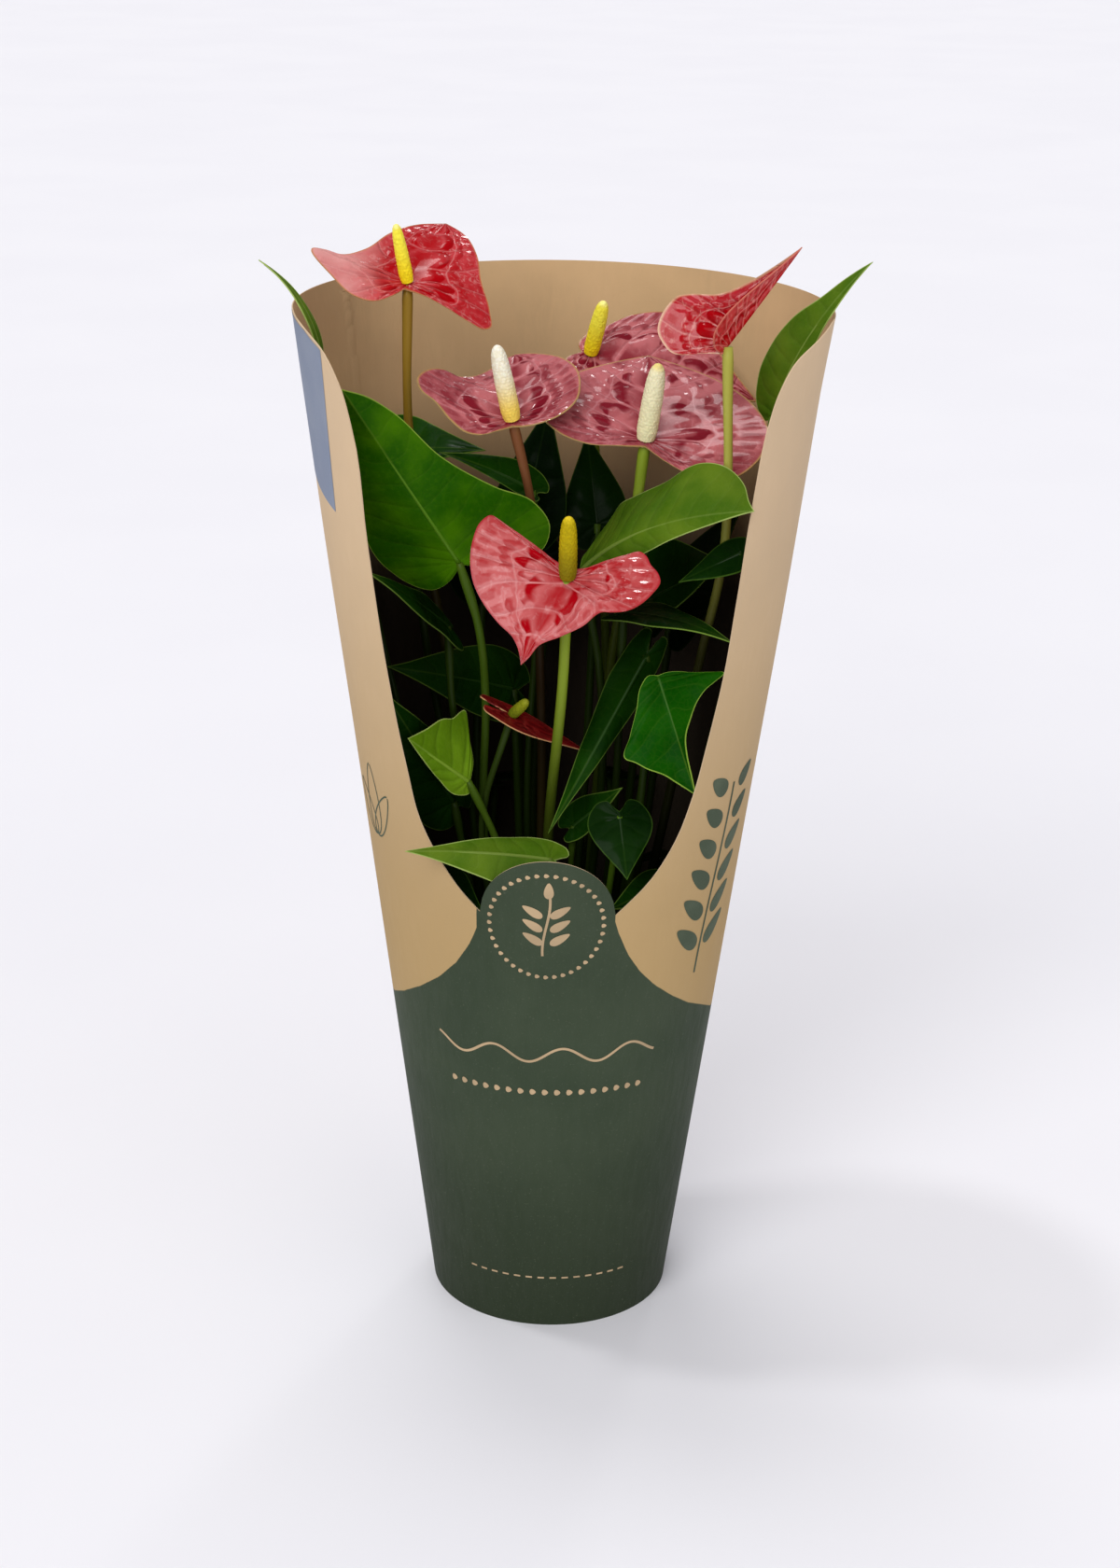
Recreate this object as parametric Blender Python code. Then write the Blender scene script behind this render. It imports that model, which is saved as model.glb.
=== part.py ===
"""A potted anthurium in a conical paper sleeve.

The plant stands in soil in a round nursery pot, and the sleeve is wedged round the pot's rim. Lengths in the
tables are millimetres. X is to the right, Y to the back, Z up, and the origin is the centre of the pot's base.
"""

from math import cos, pi, radians, sin, sqrt

import bmesh
import bpy
import numpy as np
from mathutils import Vector

MM = 0.001

# Driving sizes of the sleeve: a cone, open at the front above the tab
SLEEVE_HEIGHT = 420
SLEEVE_FOOT_RADIUS = 50
SLEEVE_RIM_RADIUS = 104
PAPER = 0.8
NOTCH_Z = 196.7
TAB_RADIUS = 27
TAB_CENTRE_Z = 194.5
SLEEVE_COLUMNS = 32
TAB_COLUMNS = 8
TAB_ROWS = 2

# The window's two edges as (angle round the sleeve in degrees from the front, height)
WINDOW_LEFT = [(-22.7, 196.7), (-29, 204.8), (-35.3, 215.8), (-41.5, 230.9), (-44.5, 251), (-48.8, 297.3),
               (-50.3, 340.7), (-51.2, 386.8), (-54, 401.3), (-60.1, 412.6), (-68.4, 417.2), (-82, 420)]
WINDOW_RIGHT = [(18.4, 196.7), (29.4, 210.9), (36.6, 226.3), (40.5, 242.3), (43.5, 265), (46, 291.4),
                (46.6, 321), (47.2, 364), (48.8, 390), (51.5, 402.3), (56.1, 411.3), (67.1, 417), (76, 420)]
WINDOW_LEVELS = [196.7, 204.8, 215.8, 230.9, 251, 290, 340, 386, 401, 410, 416, 420]

# The pot's turned outline as (radius, height), down the outside and up the inside
POT_OUTLINE = [(58.9, 98), (60.3, 98), (60.9, 97), (59.7, 87), (55.8, 85), (43.5, 0), (0, 0),
               (0, 1.6), (42.2, 1.6), (54.4, 85), (58.3, 89), (58.9, 98)]
POT_STEPS = 32
DRAIN_HOLES = 6
DRAIN_RADIUS = 3.2
DRAIN_RING = 30

SOIL_OUTLINE = [(0, 91), (20, 90.6), (38, 89.4), (52, 88.2), (56.4, 87.6), (53.4, 84.4), (41.8, 2), (0, 2)]
HOLE_FLOOR = 77.6
HOLE_SLACK = 1.2
HOLE_SIDES = 6

GAP = 0.3
BLADE = 0.8
STEM_BOTTOM = 78
SOIL_LEVEL = 92

# Half of a heart-shaped leaf, from the notch at the stalk round the lobe to the tip. Along the midrib 1 is the
# tip and -1 the end of the lobe, and across it 1 is the widest place
HEART = [(-0.2, 0), (-0.54, 0.14), (-1, 0.34), (-0.96, 0.6), (-0.46, 0.86), (0.1, 1), (0.3, 0.9),
         (0.5, 0.66), (0.7, 0.38), (0.87, 0.15), (1, 0)]

NOTCH_DEPTH = 2

# The steps from lobe to tip and from midrib to margin, and for the spathes that need another number
SPATHE_GRID = (10, 3)
SPATHE_GRIDS = {"bloom2": (12, 3), "bloom6": (13, 3), "bloom7": (7, 2)}

# A spathe or a leaf lies from its base, where the stalk joins, to its tip, with its upper face towards "face".
# "left" and "right" are the halves seen from the upper face with the tip ahead: either an outline, or the
# widest place and the lobe of a heart. Angles are in degrees: "fold" lifts a half at its base and at its tip,
# "curl" bends it more per millimetre outwards, and "arch" bends the midrib down towards the tip
SPATHES = {
    "bloom1": dict(
        base=(-60, 0, 428), tip=(-47, 41, 444), face=(0, -0.35, 0.94), arch=20,
        left=[(-4, 0), (-9, 3), (-15, 9), (-16, 17), (-12, 27), (-5, 38), (-3, 34), (-1, 27), (7, 20.5),
              (23, 15.5), (38, 8), (46, 0)],
        right=[(-4, 0), (-4, 9), (-5, 18), (-5.5, 29), (-4.5, 34), (-1, 36.5), (6, 33.5), (18, 25), (31, 18.5),
               (41, 10), (46, 0)],
        fold_left=(16, 8), fold_right=(-8, -5), curl_left=0.34, curl_right=-0.92),
    "bloom2": dict(
        base=(-19, -25, 381), tip=(-19, 14, 398), face=(0, -0.4, 0.9), arch=15,
        left=[(-4, 0), (-7, 6), (-10, 12), (-10, 18), (-6, 24), (1, 31), (4, 37), (8, 38.5), (14, 36),
              (20, 28), (19, 22), (21, 17), (28, 10), (38, 4), (43, 0)],
        right=[(-4, 0), (-4, 6), (-3, 12), (0, 20), (5, 25), (15, 26.5), (30, 23), (40, 15), (43.5, 6),
               (43, 0)],
        fold_left=(5, 5), fold_right=(5, 0), curl_left=0.7, curl_right=0.7),
    "bloom3": dict(
        base=(32, -20, 373), tip=(34, 30, 395), face=(0, -0.4, 0.9), arch=20,
        left=[(-4, 0), (-5, 10), (-6, 22), (-2, 34), (6, 41), (18, 40), (34, 30), (48, 14), (56, 3), (58, 0)],
        right=[(-4, 0), (-11, 8), (-18, 20), (-19, 32), (-10, 43), (5, 47), (20, 42), (36, 30), (49, 14),
               (58, 0)],
        fold_left=(8, 5), fold_right=(2, 0)),
    "bloom4": dict(
        base=(11, 52, 391), tip=(79, 45, 374), face=(-0.1, -0.55, 0.83), arch=15,
        left=[(-4, 0), (-6, 4), (-4, 10), (2, 16), (12, 26), (28, 32), (42, 26), (54, 14), (64, 5), (70, 0)],
        right=[(-4, 0), (-9, 5), (-8, 10), (0, 14), (15, 16), (35, 14), (55, 7), (70, 0)]),
    "bloom5": dict(
        base=(61, -42, 414), tip=(87, -38, 450), face=(-0.2, -1, 0.25), arch=-10,
        left=[(-4, 0), (-8, 6), (-12, 10.5), (-14.6, 15.3), (-13.7, 20.3), (-11.4, 24.6), (-6.6, 27),
              (-2, 27.6), (3, 26.7), (6, 23.8), (13, 14.4), (22.4, 8.5), (33, 4.1), (44.6, 0)],
        right=[(-4, 0), (-4, 4.5), (-1, 8.5), (6, 10.4), (15, 9.4), (25, 6.6), (35, 3.2), (44.6, 0)],
        fold_left=(-5, 20), fold_right=(130, 122)),
    "bloom6": dict(
        base=(3, -57, 328), tip=(-14, -74, 299), face=(0, -0.8, 0.6), arch=10, fold_left=(17, 6),
        left=[(-4, 0), (-6.4, 4.6), (-11.8, 10.4), (-17, 16.8), (-19.8, 21), (-19, 24), (-16.3, 27.3),
              (-13.9, 31.9), (-11.4, 34.2), (-5.5, 33.6), (0.8, 30.6), (3.3, 27.9), (6.1, 22.2), (7.2, 19),
              (14.8, 14.6), (22.2, 8.3), (28.5, 2.6), (34.5, 1.3), (38, 0)],
        right=[(-4, 0), (-4, 7), (-5.6, 15), (-7.2, 24), (-8.4, 32), (-8.8, 37.8), (-4.6, 39.7), (2.6, 39),
               (10.6, 36), (18.3, 30.4), (23.8, 23), (27.6, 15), (30.3, 7.2), (34, 2.9), (38, 0)]),
    "bloom7": dict(
        base=(-18, -27, 263), tip=(12, -27, 248), face=(0.42, -0.05, 0.9),
        left=(12, 14), right=(9, 12), fold_left=(-5, -5), fold_right=(-10, -10)),
}

# The tip of each spadix and its thickest radius
SPADICES = {
    "bloom1": ((-64, -6, 451), 2.9),
    "bloom2": ((-25, -33, 411), 3.6),
    "bloom3": ((36, -28, 404), 3.9),
    "bloom4": ((16, 44, 414), 3.2),
    "bloom5": ((64.6, -41.4, 427.4), 1.2),
    "bloom6": ((3, -65, 354), 3.4),
    "bloom7": ((-12, -36, 272), 2.2),
}
SPADIX_SHAPE = [(0, 0.9), (0.15, 1), (0.75, 0.9), (0.93, 0.6), (1, 0.3)]

LEAVES = {
    "leaf_01": dict(
        base=(-39, -24, 324), tip=(-82, -45, 396), face=(0.2, -0.9, 0.4), fold_left=(-48, -48),
        fold_right=(15, 4),
        left=[(-1, 0), (-6, 8), (-8, 18), (-2, 26), (8, 30), (25, 29), (42, 23), (58, 14), (70, 6), (78, 0)],
        right=[(-1, 0), (-7, 8), (-14, 20.5), (-15, 31), (-9, 37), (4, 37), (16, 28), (37, 17), (61, 11),
               (71, 6), (78, 0)]),
    "leaf_02": dict(
        base=(-78, 28, 356), tip=(-30, 12, 360), face=(0, -0.5, 0.85), arch=10, left=(20, 8), right=(14, 8)),
    "leaf_03": dict(
        base=(-11, -4, 348), tip=(-48, -1, 362), face=(0, -0.6, 0.8), arch=30, left=(4, 4), right=(10, 6),
        fold_left=(-30, -30)),
    "leaf_04": dict(
        base=(-15, 25, 327), tip=(-5, 35, 375), face=(0, -0.9, 0.4), left=(14, 10), right=(16, 10)),
    "leaf_05": dict(
        base=(8, -27.6, 323), tip=(71, -72, 359), face=(0, -0.6, 0.8), arch=45, fold_left=(-10, 0),
        fold_right=(-40, -20),
        left=[(-1, 0), (-4, 10), (-4, 22), (5, 29), (18, 26), (32, 26), (46, 28), (56, 23), (63, 13), (66, 4),
              (68, 0)],
        right=[(-1, 0), (-5, 5), (-4, 9), (6, 10), (20, 9), (40, 7), (58, 3), (68, 0)]),
    "leaf_06": dict(
        base=(37, 0, 304), tip=(64, -22, 326), face=(-0.1, -0.7, 0.7), left=(24, 10), right=(12, 10)),
    "leaf_07": dict(
        base=(25, -24, 305), tip=(66, -55, 303), face=(0.05, -0.1, 0.99), arch=25, left=(13, 5),
        right=(13, 5)),
    "leaf_08": dict(
        base=(39, -38, 283), tip=(54, -58, 242), face=(0, -0.9, 0.4), fold_left=(15, 65),
        left=[(-1, 0), (-1, 4), (0.5, 9), (2.4, 13), (5, 21), (7, 26.3), (9, 21), (10.4, 17), (13.4, 12.9),
              (19.5, 8.2), (25.5, 4), (33, 2), (40, 1.2), (48, 0)],
        right=[(-1, 0), (-2, 3.5), (1, 7.5), (9.4, 12), (18.7, 17.6), (26.3, 21.9), (28.7, 18.9), (32.7, 15),
               (36.8, 9.6), (41.6, 5.4), (48, 0)]),
    "leaf_09": dict(
        base=(34, -32, 290), tip=(-3, -50, 222), face=(-0.55, -0.6, 0.4), left=(8, 10), right=(11, 10),
        fold_left=(-70, -70)),
    "leaf_10": dict(
        base=(25, -48, 229), tip=(28, -65, 209), face=(0.1, -0.8, 0.6), left=(13, 7), right=(13, 7),
        fold_left=(-10, -10), fold_right=(-10, -10)),
    "leaf_11": dict(
        base=(44, -35, 195), tip=(21, -60, 194), face=(0.1, -0.5, 0.8), left=(9, 6), right=(9, 6)),
    "leaf_12": dict(
        base=(-35, -30, 236), tip=(-58, -48, 260), face=(0.1, -0.7, 0.7), fold_left=(-40, -40),
        left=[(-1, 0), (-4, 4), (0, 7), (10, 6), (20, 3), (28, 0)],
        right=[(-1, 0), (0, 8), (3, 15), (5, 22), (7, 27), (12, 20), (16, 17), (22, 8), (28, 0)]),
    "leaf_13": dict(
        base=(-41, -22, 224), tip=(-67, -48, 279), face=(0.5, -0.5, 0.4), left=(16, 10), right=(16, 10),
        fold_left=(-40, -40)),
    "leaf_14": dict(
        base=(-18, 14, 260), tip=(-68, -14, 278), face=(0.1, -0.75, 0.65), arch=10, left=(15, 10),
        right=(19, 10), fold_left=(-12, -12), fold_right=(-8, -8)),
    "leaf_15": dict(
        base=(-2, -62, 216), tip=(-58, -71, 222), face=(0, -0.45, 0.9), arch=15, left=(14, 8), right=(10, 8),
        fold_left=(-35, -35)),
    "leaf_16": dict(
        base=(-47, -38, 198), tip=(-28, -62, 194), face=(-0.1, -0.5, 0.8), left=(9, 6), right=(9, 6)),
    "leaf_17": dict(
        base=(-44, -10, 294), tip=(-73, -46, 326), face=(0.1, -0.5, 0.8), arch=10, left=(12, 9),
        right=(10, 7)),
    "leaf_18": dict(
        base=(81, -10, 380), tip=(116, -14, 441), face=(-0.75, -0.55, 0.3), arch=46, fold_left=(5, 5),
        fold_right=(-10, -15),
        left=[(-1, 0), (-4, 5), (0, 10), (8, 13), (21, 15), (33, 12), (46, 6.5), (56, 3.5), (67, 0)],
        right=[(-1, 0), (-3, 4), (0, 6), (12, 6), (28, 5), (46, 2.5), (67, 0)]),
    "leaf_19": dict(
        base=(-92, -21, 404), tip=(-114, -25, 440), face=(1, -0.3, 0.5), arch=54, left=(4, 3),
        right=(4, 3)),
    "leaf_20": dict(
        base=(7, -36, 220), tip=(26, -40, 238), face=(0.1, -0.5, 0.85), left=(10, 6), right=(7, 6)),
    "leaf_21": dict(
        base=(68, -50, 337), tip=(45, -50, 325), face=(0.1, -0.5, 0.8), left=(8, 5), right=(8, 5)),
    "leaf_22": dict(
        base=(15, 30, 326), tip=(10, 45, 361), face=(0, -0.9, 0.4), left=(13, 10), right=(13, 10)),
    "leaf_23": dict(
        base=(-32, 40, 300), tip=(-58, 68, 348), face=(0.3, -0.4, 0.85), arch=25, left=(17, 11),
        right=(17, 11)),
    "leaf_24": dict(
        base=(-6, 50, 282), tip=(-10, 84, 316), face=(0, -0.4, 0.9), arch=30, left=(17, 11), right=(17, 11)),
    "leaf_25": dict(
        base=(46, 34, 285), tip=(75.5, 49.5, 330), face=(-0.3, -0.4, 0.85), arch=25, left=(17, 11),
        right=(17, 11)),
    "leaf_26": dict(
        base=(-26, 42, 210), tip=(-44, 57, 198), face=(0.2, -0.2, 0.95), arch=30, left=(12, 8),
        right=(12, 8)),
    "leaf_27": dict(
        base=(22, 42, 214), tip=(38, 60, 204), face=(-0.2, -0.2, 0.95), arch=30, left=(12, 8), right=(12, 8)),
    "leaf_28": dict(
        base=(44, 24, 182), tip=(62, 31, 178), face=(-0.2, 0, 0.95), arch=30, left=(11, 7), right=(11, 7)),
}

# Each stalk as its place in the soil, the points it passes, and its radius in the soil and at the top
STALKS = {
    "bloom1": ((-20, 6), [(-45, 14, 270), (-60, 0, 375)], 2.0, 1.7),
    "bloom2": ((-7, -2), [(-7, -4, 268), (-12, -11, 347)], 2.0, 1.7),
    "bloom3": ((12, 4), [(21, -8, 278), (30, -17, 352)], 2.2, 1.9),
    "bloom4": ((5, 25), [(20, 40, 250), (14, 50, 350)], 2.0, 1.7),
    "bloom5": ((26, -14), [(44, -20, 220), (56, -27, 290), (62, -40, 331)], 2.1, 1.7),
    "bloom6": ((-2, -16), [(-3, -27, 212), (2, -50, 289)], 2.2, 2.0),
    "bloom7": ((-11, -15), [(-28, -25, 229), (-22, -28, 250)], 1.6, 1.3),
    "leaf_01": ((-21, -8), [(-30, -5, 221), (-29, -7, 262), (-32, -18, 298)], 1.9, 1.6),
    "leaf_02": ((-27, 12), [(-52, 24, 260), (-66, 30, 330)], 1.9, 1.6),
    "leaf_03": ((-8, 8), [(-12, 4, 220), (-9, 3, 318)], 1.7, 1.3),
    "leaf_04": ((-10, 21), [(-16, 36, 230)], 1.9, 1.6),
    "leaf_05": ((8, -9), [(16, -19, 282)], 1.9, 1.6),
    "leaf_06": ((20, 3), [(30, 2, 220)], 1.9, 1.6),
    "leaf_07": ((16, -4), [(24, -14, 230)], 1.8, 1.5),
    "leaf_08": ((21, -22), [(32, -30, 210), (38, -30, 275)], 1.9, 1.6),
    "leaf_09": ((19, -14), [(30, -18, 200), (37, -24, 280)], 1.8, 1.5),
    "leaf_10": ((13, -24), [(17, -34, 150)], 1.6, 1.3),
    "leaf_11": ((32, -20), [(40, -26, 150)], 1.5, 1.2),
    "leaf_12": ((-17, -27), [(-23, -26, 207)], 1.7, 1.4),
    "leaf_13": ((-24, -18), [(-32, -18, 170)], 1.7, 1.4),
    "leaf_14": ((-13, 13), [(-15, 12, 190)], 1.9, 1.6),
    "leaf_15": ((-2, -34), [(-1, -46, 160)], 1.6, 1.3),
    "leaf_16": ((-32, -22), [(-40, -28, 140)], 1.5, 1.2),
    "leaf_17": ((-29, 1), [(-36, -5, 226), (-42, -14, 262)], 1.7, 1.4),
    "leaf_18": ((35, 4), [(58, 4, 220), (76, -2, 320)], 1.8, 1.5),
    "leaf_19": ((-36, -6), [(-56, -6, 220), (-74, 0, 300), (-84, -8, 360)], 1.6, 1.2),
    "leaf_20": ((4, -26), [(4, -32, 150)], 1.5, 1.2),
    "leaf_21": ((32, -6), [(66, -14, 250), (76, -30, 305)], 1.6, 1.2),
    "leaf_22": ((6, 15), [(12, 28, 220)], 1.9, 1.6),
    "leaf_23": ((-19, 22), [(-33, 28, 200)], 1.9, 1.6),
    "leaf_24": ((-4, 32), [(-10, 38, 200)], 1.9, 1.6),
    "leaf_25": ((22, 18), [(38, 22, 200)], 1.9, 1.6),
    "leaf_26": ((-29, 26), [(-29, 36, 150)], 1.6, 1.3),
    "leaf_27": ((24, 28), [(28, 36, 150)], 1.6, 1.3),
    "leaf_28": ((31, 12), [(37, 20, 140)], 1.6, 1.3),
}

KRAFT = (0.56, 0.38, 0.22)
BLACK_PLASTIC = (0.02, 0.02, 0.02)
PEAT = (0.035, 0.02, 0.012)
LEAF_GREEN = (0.04, 0.13, 0.02)
STALK_GREEN = (0.16, 0.26, 0.04)
ROSE = (0.50, 0.07, 0.09)
RED = (0.50, 0.005, 0.012)
DARK_RED = (0.20, 0.006, 0.01)
YELLOW = (0.80, 0.58, 0.03)
CREAM = (0.86, 0.76, 0.45)
SPATHE_COLOURS = {"bloom1": RED, "bloom5": RED, "bloom7": DARK_RED}
SPADIX_COLOURS = {"bloom2": CREAM, "bloom3": CREAM}


def unit(vector):
    vector = np.array(vector, float)
    return vector / np.linalg.norm(vector)


def smooth_line(points, steps=6):
    """A smooth curve through the points. Its direction at a point follows the nearer neighbour most."""
    knots = np.array(points, float)
    gaps = np.linalg.norm(np.diff(knots, axis=0), axis=1)[:, None]
    slopes = np.diff(knots, axis=0) / gaps
    inner = (slopes[:-1] * gaps[1:] + slopes[1:] * gaps[:-1]) / (gaps[:-1] + gaps[1:])
    slopes = np.vstack([slopes[:1], inner, slopes[-1:]])
    line = []
    for start, end, leave, arrive, gap in zip(knots, knots[1:], slopes, slopes[1:], gaps):
        for step in range(steps):
            t = step / steps
            line.append(start * (2 * t**3 - 3 * t**2 + 1) + end * (3 * t**2 - 2 * t**3)
                        + gap * leave * (t**3 - 2 * t**2 + t) + gap * arrive * (t**3 - t**2))
    line.append(knots[-1])
    return np.array(line)


def evenly(line, count):
    """The line again as count equal steps."""
    lengths = np.linalg.norm(np.diff(line, axis=0), axis=1)
    reached = np.concatenate([[0], np.cumsum(lengths)])
    wanted = np.linspace(0, reached[-1], count + 1)
    return np.stack([np.interp(wanted, reached, line[:, axis]) for axis in range(line.shape[1])], axis=1)


class Blade:
    """A leaf or spathe: flat outlines on both sides of a midrib, bent in space."""

    def __init__(self, base, tip, face, left, right, arch=0, fold_left=(0, 0), fold_right=(0, 0),
                 curl_left=0, curl_right=0):
        self.base = np.array(base, float)
        along = np.array(tip, float) - self.base
        self.along = unit(along)
        face = np.array(face, float)
        self.up = unit(face - (face @ self.along) * self.along)
        self.across = np.cross(self.along, self.up)
        self.arch = radians(arch)
        self.folds = {-1: np.radians(fold_left), 1: np.radians(fold_right)}
        self.curls = {-1: radians(curl_left), 1: radians(curl_right)}
        half_arch = self.arch / 2
        self.length = np.linalg.norm(along) * (half_arch / sin(half_arch) if half_arch else 1)
        self.halves = {}
        for side, half in ((-1, left), (1, right)):
            if isinstance(half, tuple):
                width, lobe = half
                half = [(x * (lobe if x < 0 else self.length), y * width) for x, y in HEART]
                half[0] = (-NOTCH_DEPTH, 0)
            stretch = self.length / half[-1][0]
            self.halves[side] = np.array([(x * (stretch if x > 0 else 1), y) for x, y in half], float)

    def place(self, flat):
        """The flat points, given along and across the midrib, in space."""
        flat = np.asarray(flat, float)
        x = flat[:, 0]
        side = np.where(flat[:, 1] < 0, -1, 1)
        away = np.abs(flat[:, 1])
        share = np.clip(x / self.length, 0, 1)
        fold = np.where(side < 0, np.interp(share, [0, 1], self.folds[-1]),
                        np.interp(share, [0, 1], self.folds[1]))
        curl = np.where(side < 0, self.curls[-1], self.curls[1])
        curl = np.where(np.abs(curl) < 1e-6, 1e-6, curl)
        outwards = side * (np.sin(fold + curl * away) - np.sin(fold)) / curl
        lifted = (np.cos(fold) - np.cos(fold + curl * away)) / curl
        bend = self.arch if abs(self.arch) > 1e-6 else 1e-6
        angle = bend / 2 - bend * x / self.length
        radius = self.length / bend
        rib_x = radius * (sin(bend / 2) - np.sin(angle))
        rib_z = radius * (np.cos(angle) - cos(bend / 2))
        local = np.stack([rib_x - lifted * np.sin(angle), outwards, rib_z + lifted * np.cos(angle)], axis=1)
        return self.base + local @ np.stack([self.along, self.across, self.up])

    def sheet(self, steps, rings):
        """The blade with no thickness: points in space and triangles."""
        flat = []
        number = {}
        triangles = []

        def point(x, y):
            key = (round(x * 50), round(y * 50))
            if key not in number:
                number[key] = len(flat)
                flat.append((x, y))
            return number[key]

        edges = {}
        for side in (-1, 1):
            edge = evenly(smooth_line(self.halves[side]), steps)
            edge[:, 1] = np.maximum(edge[:, 1], 0)
            edge[0, 1] = 0
            edge[-1] = (self.length, 0)
            edges[side] = edge
        roots = [np.clip(edge[:, 0] - edge[:, 1] / 2, 0, 0.97 * self.length) for edge in edges.values()]
        rib = np.maximum.accumulate((roots[0] + roots[1]) / 2)
        rib[-1] = self.length
        for side, edge in edges.items():
            rows = [[point(r + (x - r) * ring / rings, side * y * ring / rings) for ring in range(rings + 1)]
                    for (x, y), r in zip(edge, rib)]
            for row, after in zip(rows, rows[1:]):
                for ring in range(rings):
                    corners = (row[ring], row[ring + 1], after[ring + 1], after[ring])
                    for triangle in (corners[:3], (corners[0], corners[2], corners[3])):
                        if len(set(triangle)) == 3:
                            triangles.append(triangle[::-side])
        return self.place(flat), triangles


def new_object(name, mesh):
    thing = bpy.data.objects.new(name, mesh)
    bpy.context.scene.collection.objects.link(thing)
    return thing


def mesh_from(name, points, faces):
    mesh = bpy.data.meshes.new(name)
    mesh.from_pydata([tuple(p * MM for p in point) for point in points], [], [tuple(f) for f in faces])
    mesh.update()
    return mesh


def as_mesh(thing, name):
    """The object as its modifiers leave it, as a plain closed mesh. The first object is removed."""
    graph = bpy.context.evaluated_depsgraph_get()
    mesh = bpy.data.meshes.new_from_object(thing.evaluated_get(graph), depsgraph=graph)
    mesh.name = name
    work = bmesh.new()
    work.from_mesh(mesh)
    bmesh.ops.remove_doubles(work, verts=work.verts, dist=1e-6)
    bmesh.ops.recalc_face_normals(work, faces=work.faces)
    work.to_mesh(mesh)
    work.free()
    bpy.data.objects.remove(thing)
    return new_object(name, mesh)


def combine(thing, other, operation, solver="EXACT"):
    """One Boolean, applied, with the second object removed."""
    name = thing.name
    modifier = thing.modifiers.new("combine", "BOOLEAN")
    modifier.operation = operation
    modifier.solver = solver
    modifier.object = other
    done = as_mesh(thing, name)
    bpy.data.objects.remove(other)
    done.name = name
    return done


def drop_scraps(thing):
    """Keeps only the largest connected piece."""
    work = bmesh.new()
    work.from_mesh(thing.data)
    left = set(work.verts)
    pieces = []
    while left:
        piece = set()
        edge_of_search = [left.pop()]
        while edge_of_search:
            vertex = edge_of_search.pop()
            piece.add(vertex)
            for edge in vertex.link_edges:
                other = edge.other_vert(vertex)
                if other in left:
                    left.remove(other)
                    edge_of_search.append(other)
        pieces.append(piece)
    pieces.sort(key=len)
    for piece in pieces[:-1]:
        bmesh.ops.delete(work, geom=list(piece), context="VERTS")
    work.to_mesh(thing.data)
    work.free()


def thick_blade(name, blade, steps, rings, thickness=BLADE):
    points, triangles = blade.sheet(steps, rings)
    thing = new_object(name, mesh_from(name, points, triangles))
    solid = thing.modifiers.new("thickness", "SOLIDIFY")
    solid.thickness = thickness * MM
    solid.offset = 0
    return as_mesh(thing, name)


def rod(name, line, radii, resolution=1):
    """A round rod along the line, with capped ends, thinning as the (share, radius) pairs say."""
    curve = bpy.data.curves.new(name, "CURVE")
    curve.dimensions = "3D"
    curve.bevel_depth = MM
    curve.bevel_resolution = resolution
    curve.use_fill_caps = True
    spline = curve.splines.new("POLY")
    spline.points.add(len(line) - 1)
    shares, sizes = zip(*radii)
    for index, (point, knot) in enumerate(zip(line, spline.points)):
        knot.co = (*(point * MM), 1)
        knot.radius = np.interp(index / (len(line) - 1), shares, sizes)
    return as_mesh(new_object(name, curve), name)


def stalk(name, blade, pull_back, steps):
    (x, y), way, low, high = STALKS[name]
    lean = 0.02
    out_of_soil = (x + (way[0][0] - x) * lean, y + (way[0][1] - y) * lean, SOIL_LEVEL + 14)
    end = blade.base - pull_back * unit(blade.base - np.array(way[-1], float))
    line = smooth_line([(x, y, STEM_BOTTOM), (x, y, SOIL_LEVEL), out_of_soil, *way, end], 8)
    return rod(name + "_stem", evenly(line, steps), [(0, low), (1, high)])


def paint(thing, colour, roughness):
    material = bpy.data.materials.new(thing.name)
    material.use_nodes = True
    shader = material.node_tree.nodes["Principled BSDF"]
    shader.inputs["Base Color"].default_value = (*colour, 1)
    shader.inputs["Roughness"].default_value = roughness
    shader.inputs["Metallic"].default_value = 0
    thing.data.materials.clear()
    thing.data.materials.append(material)
    thing.data.shade_smooth()
    thing.data.set_sharp_from_angle(angle=radians(40))


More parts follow.
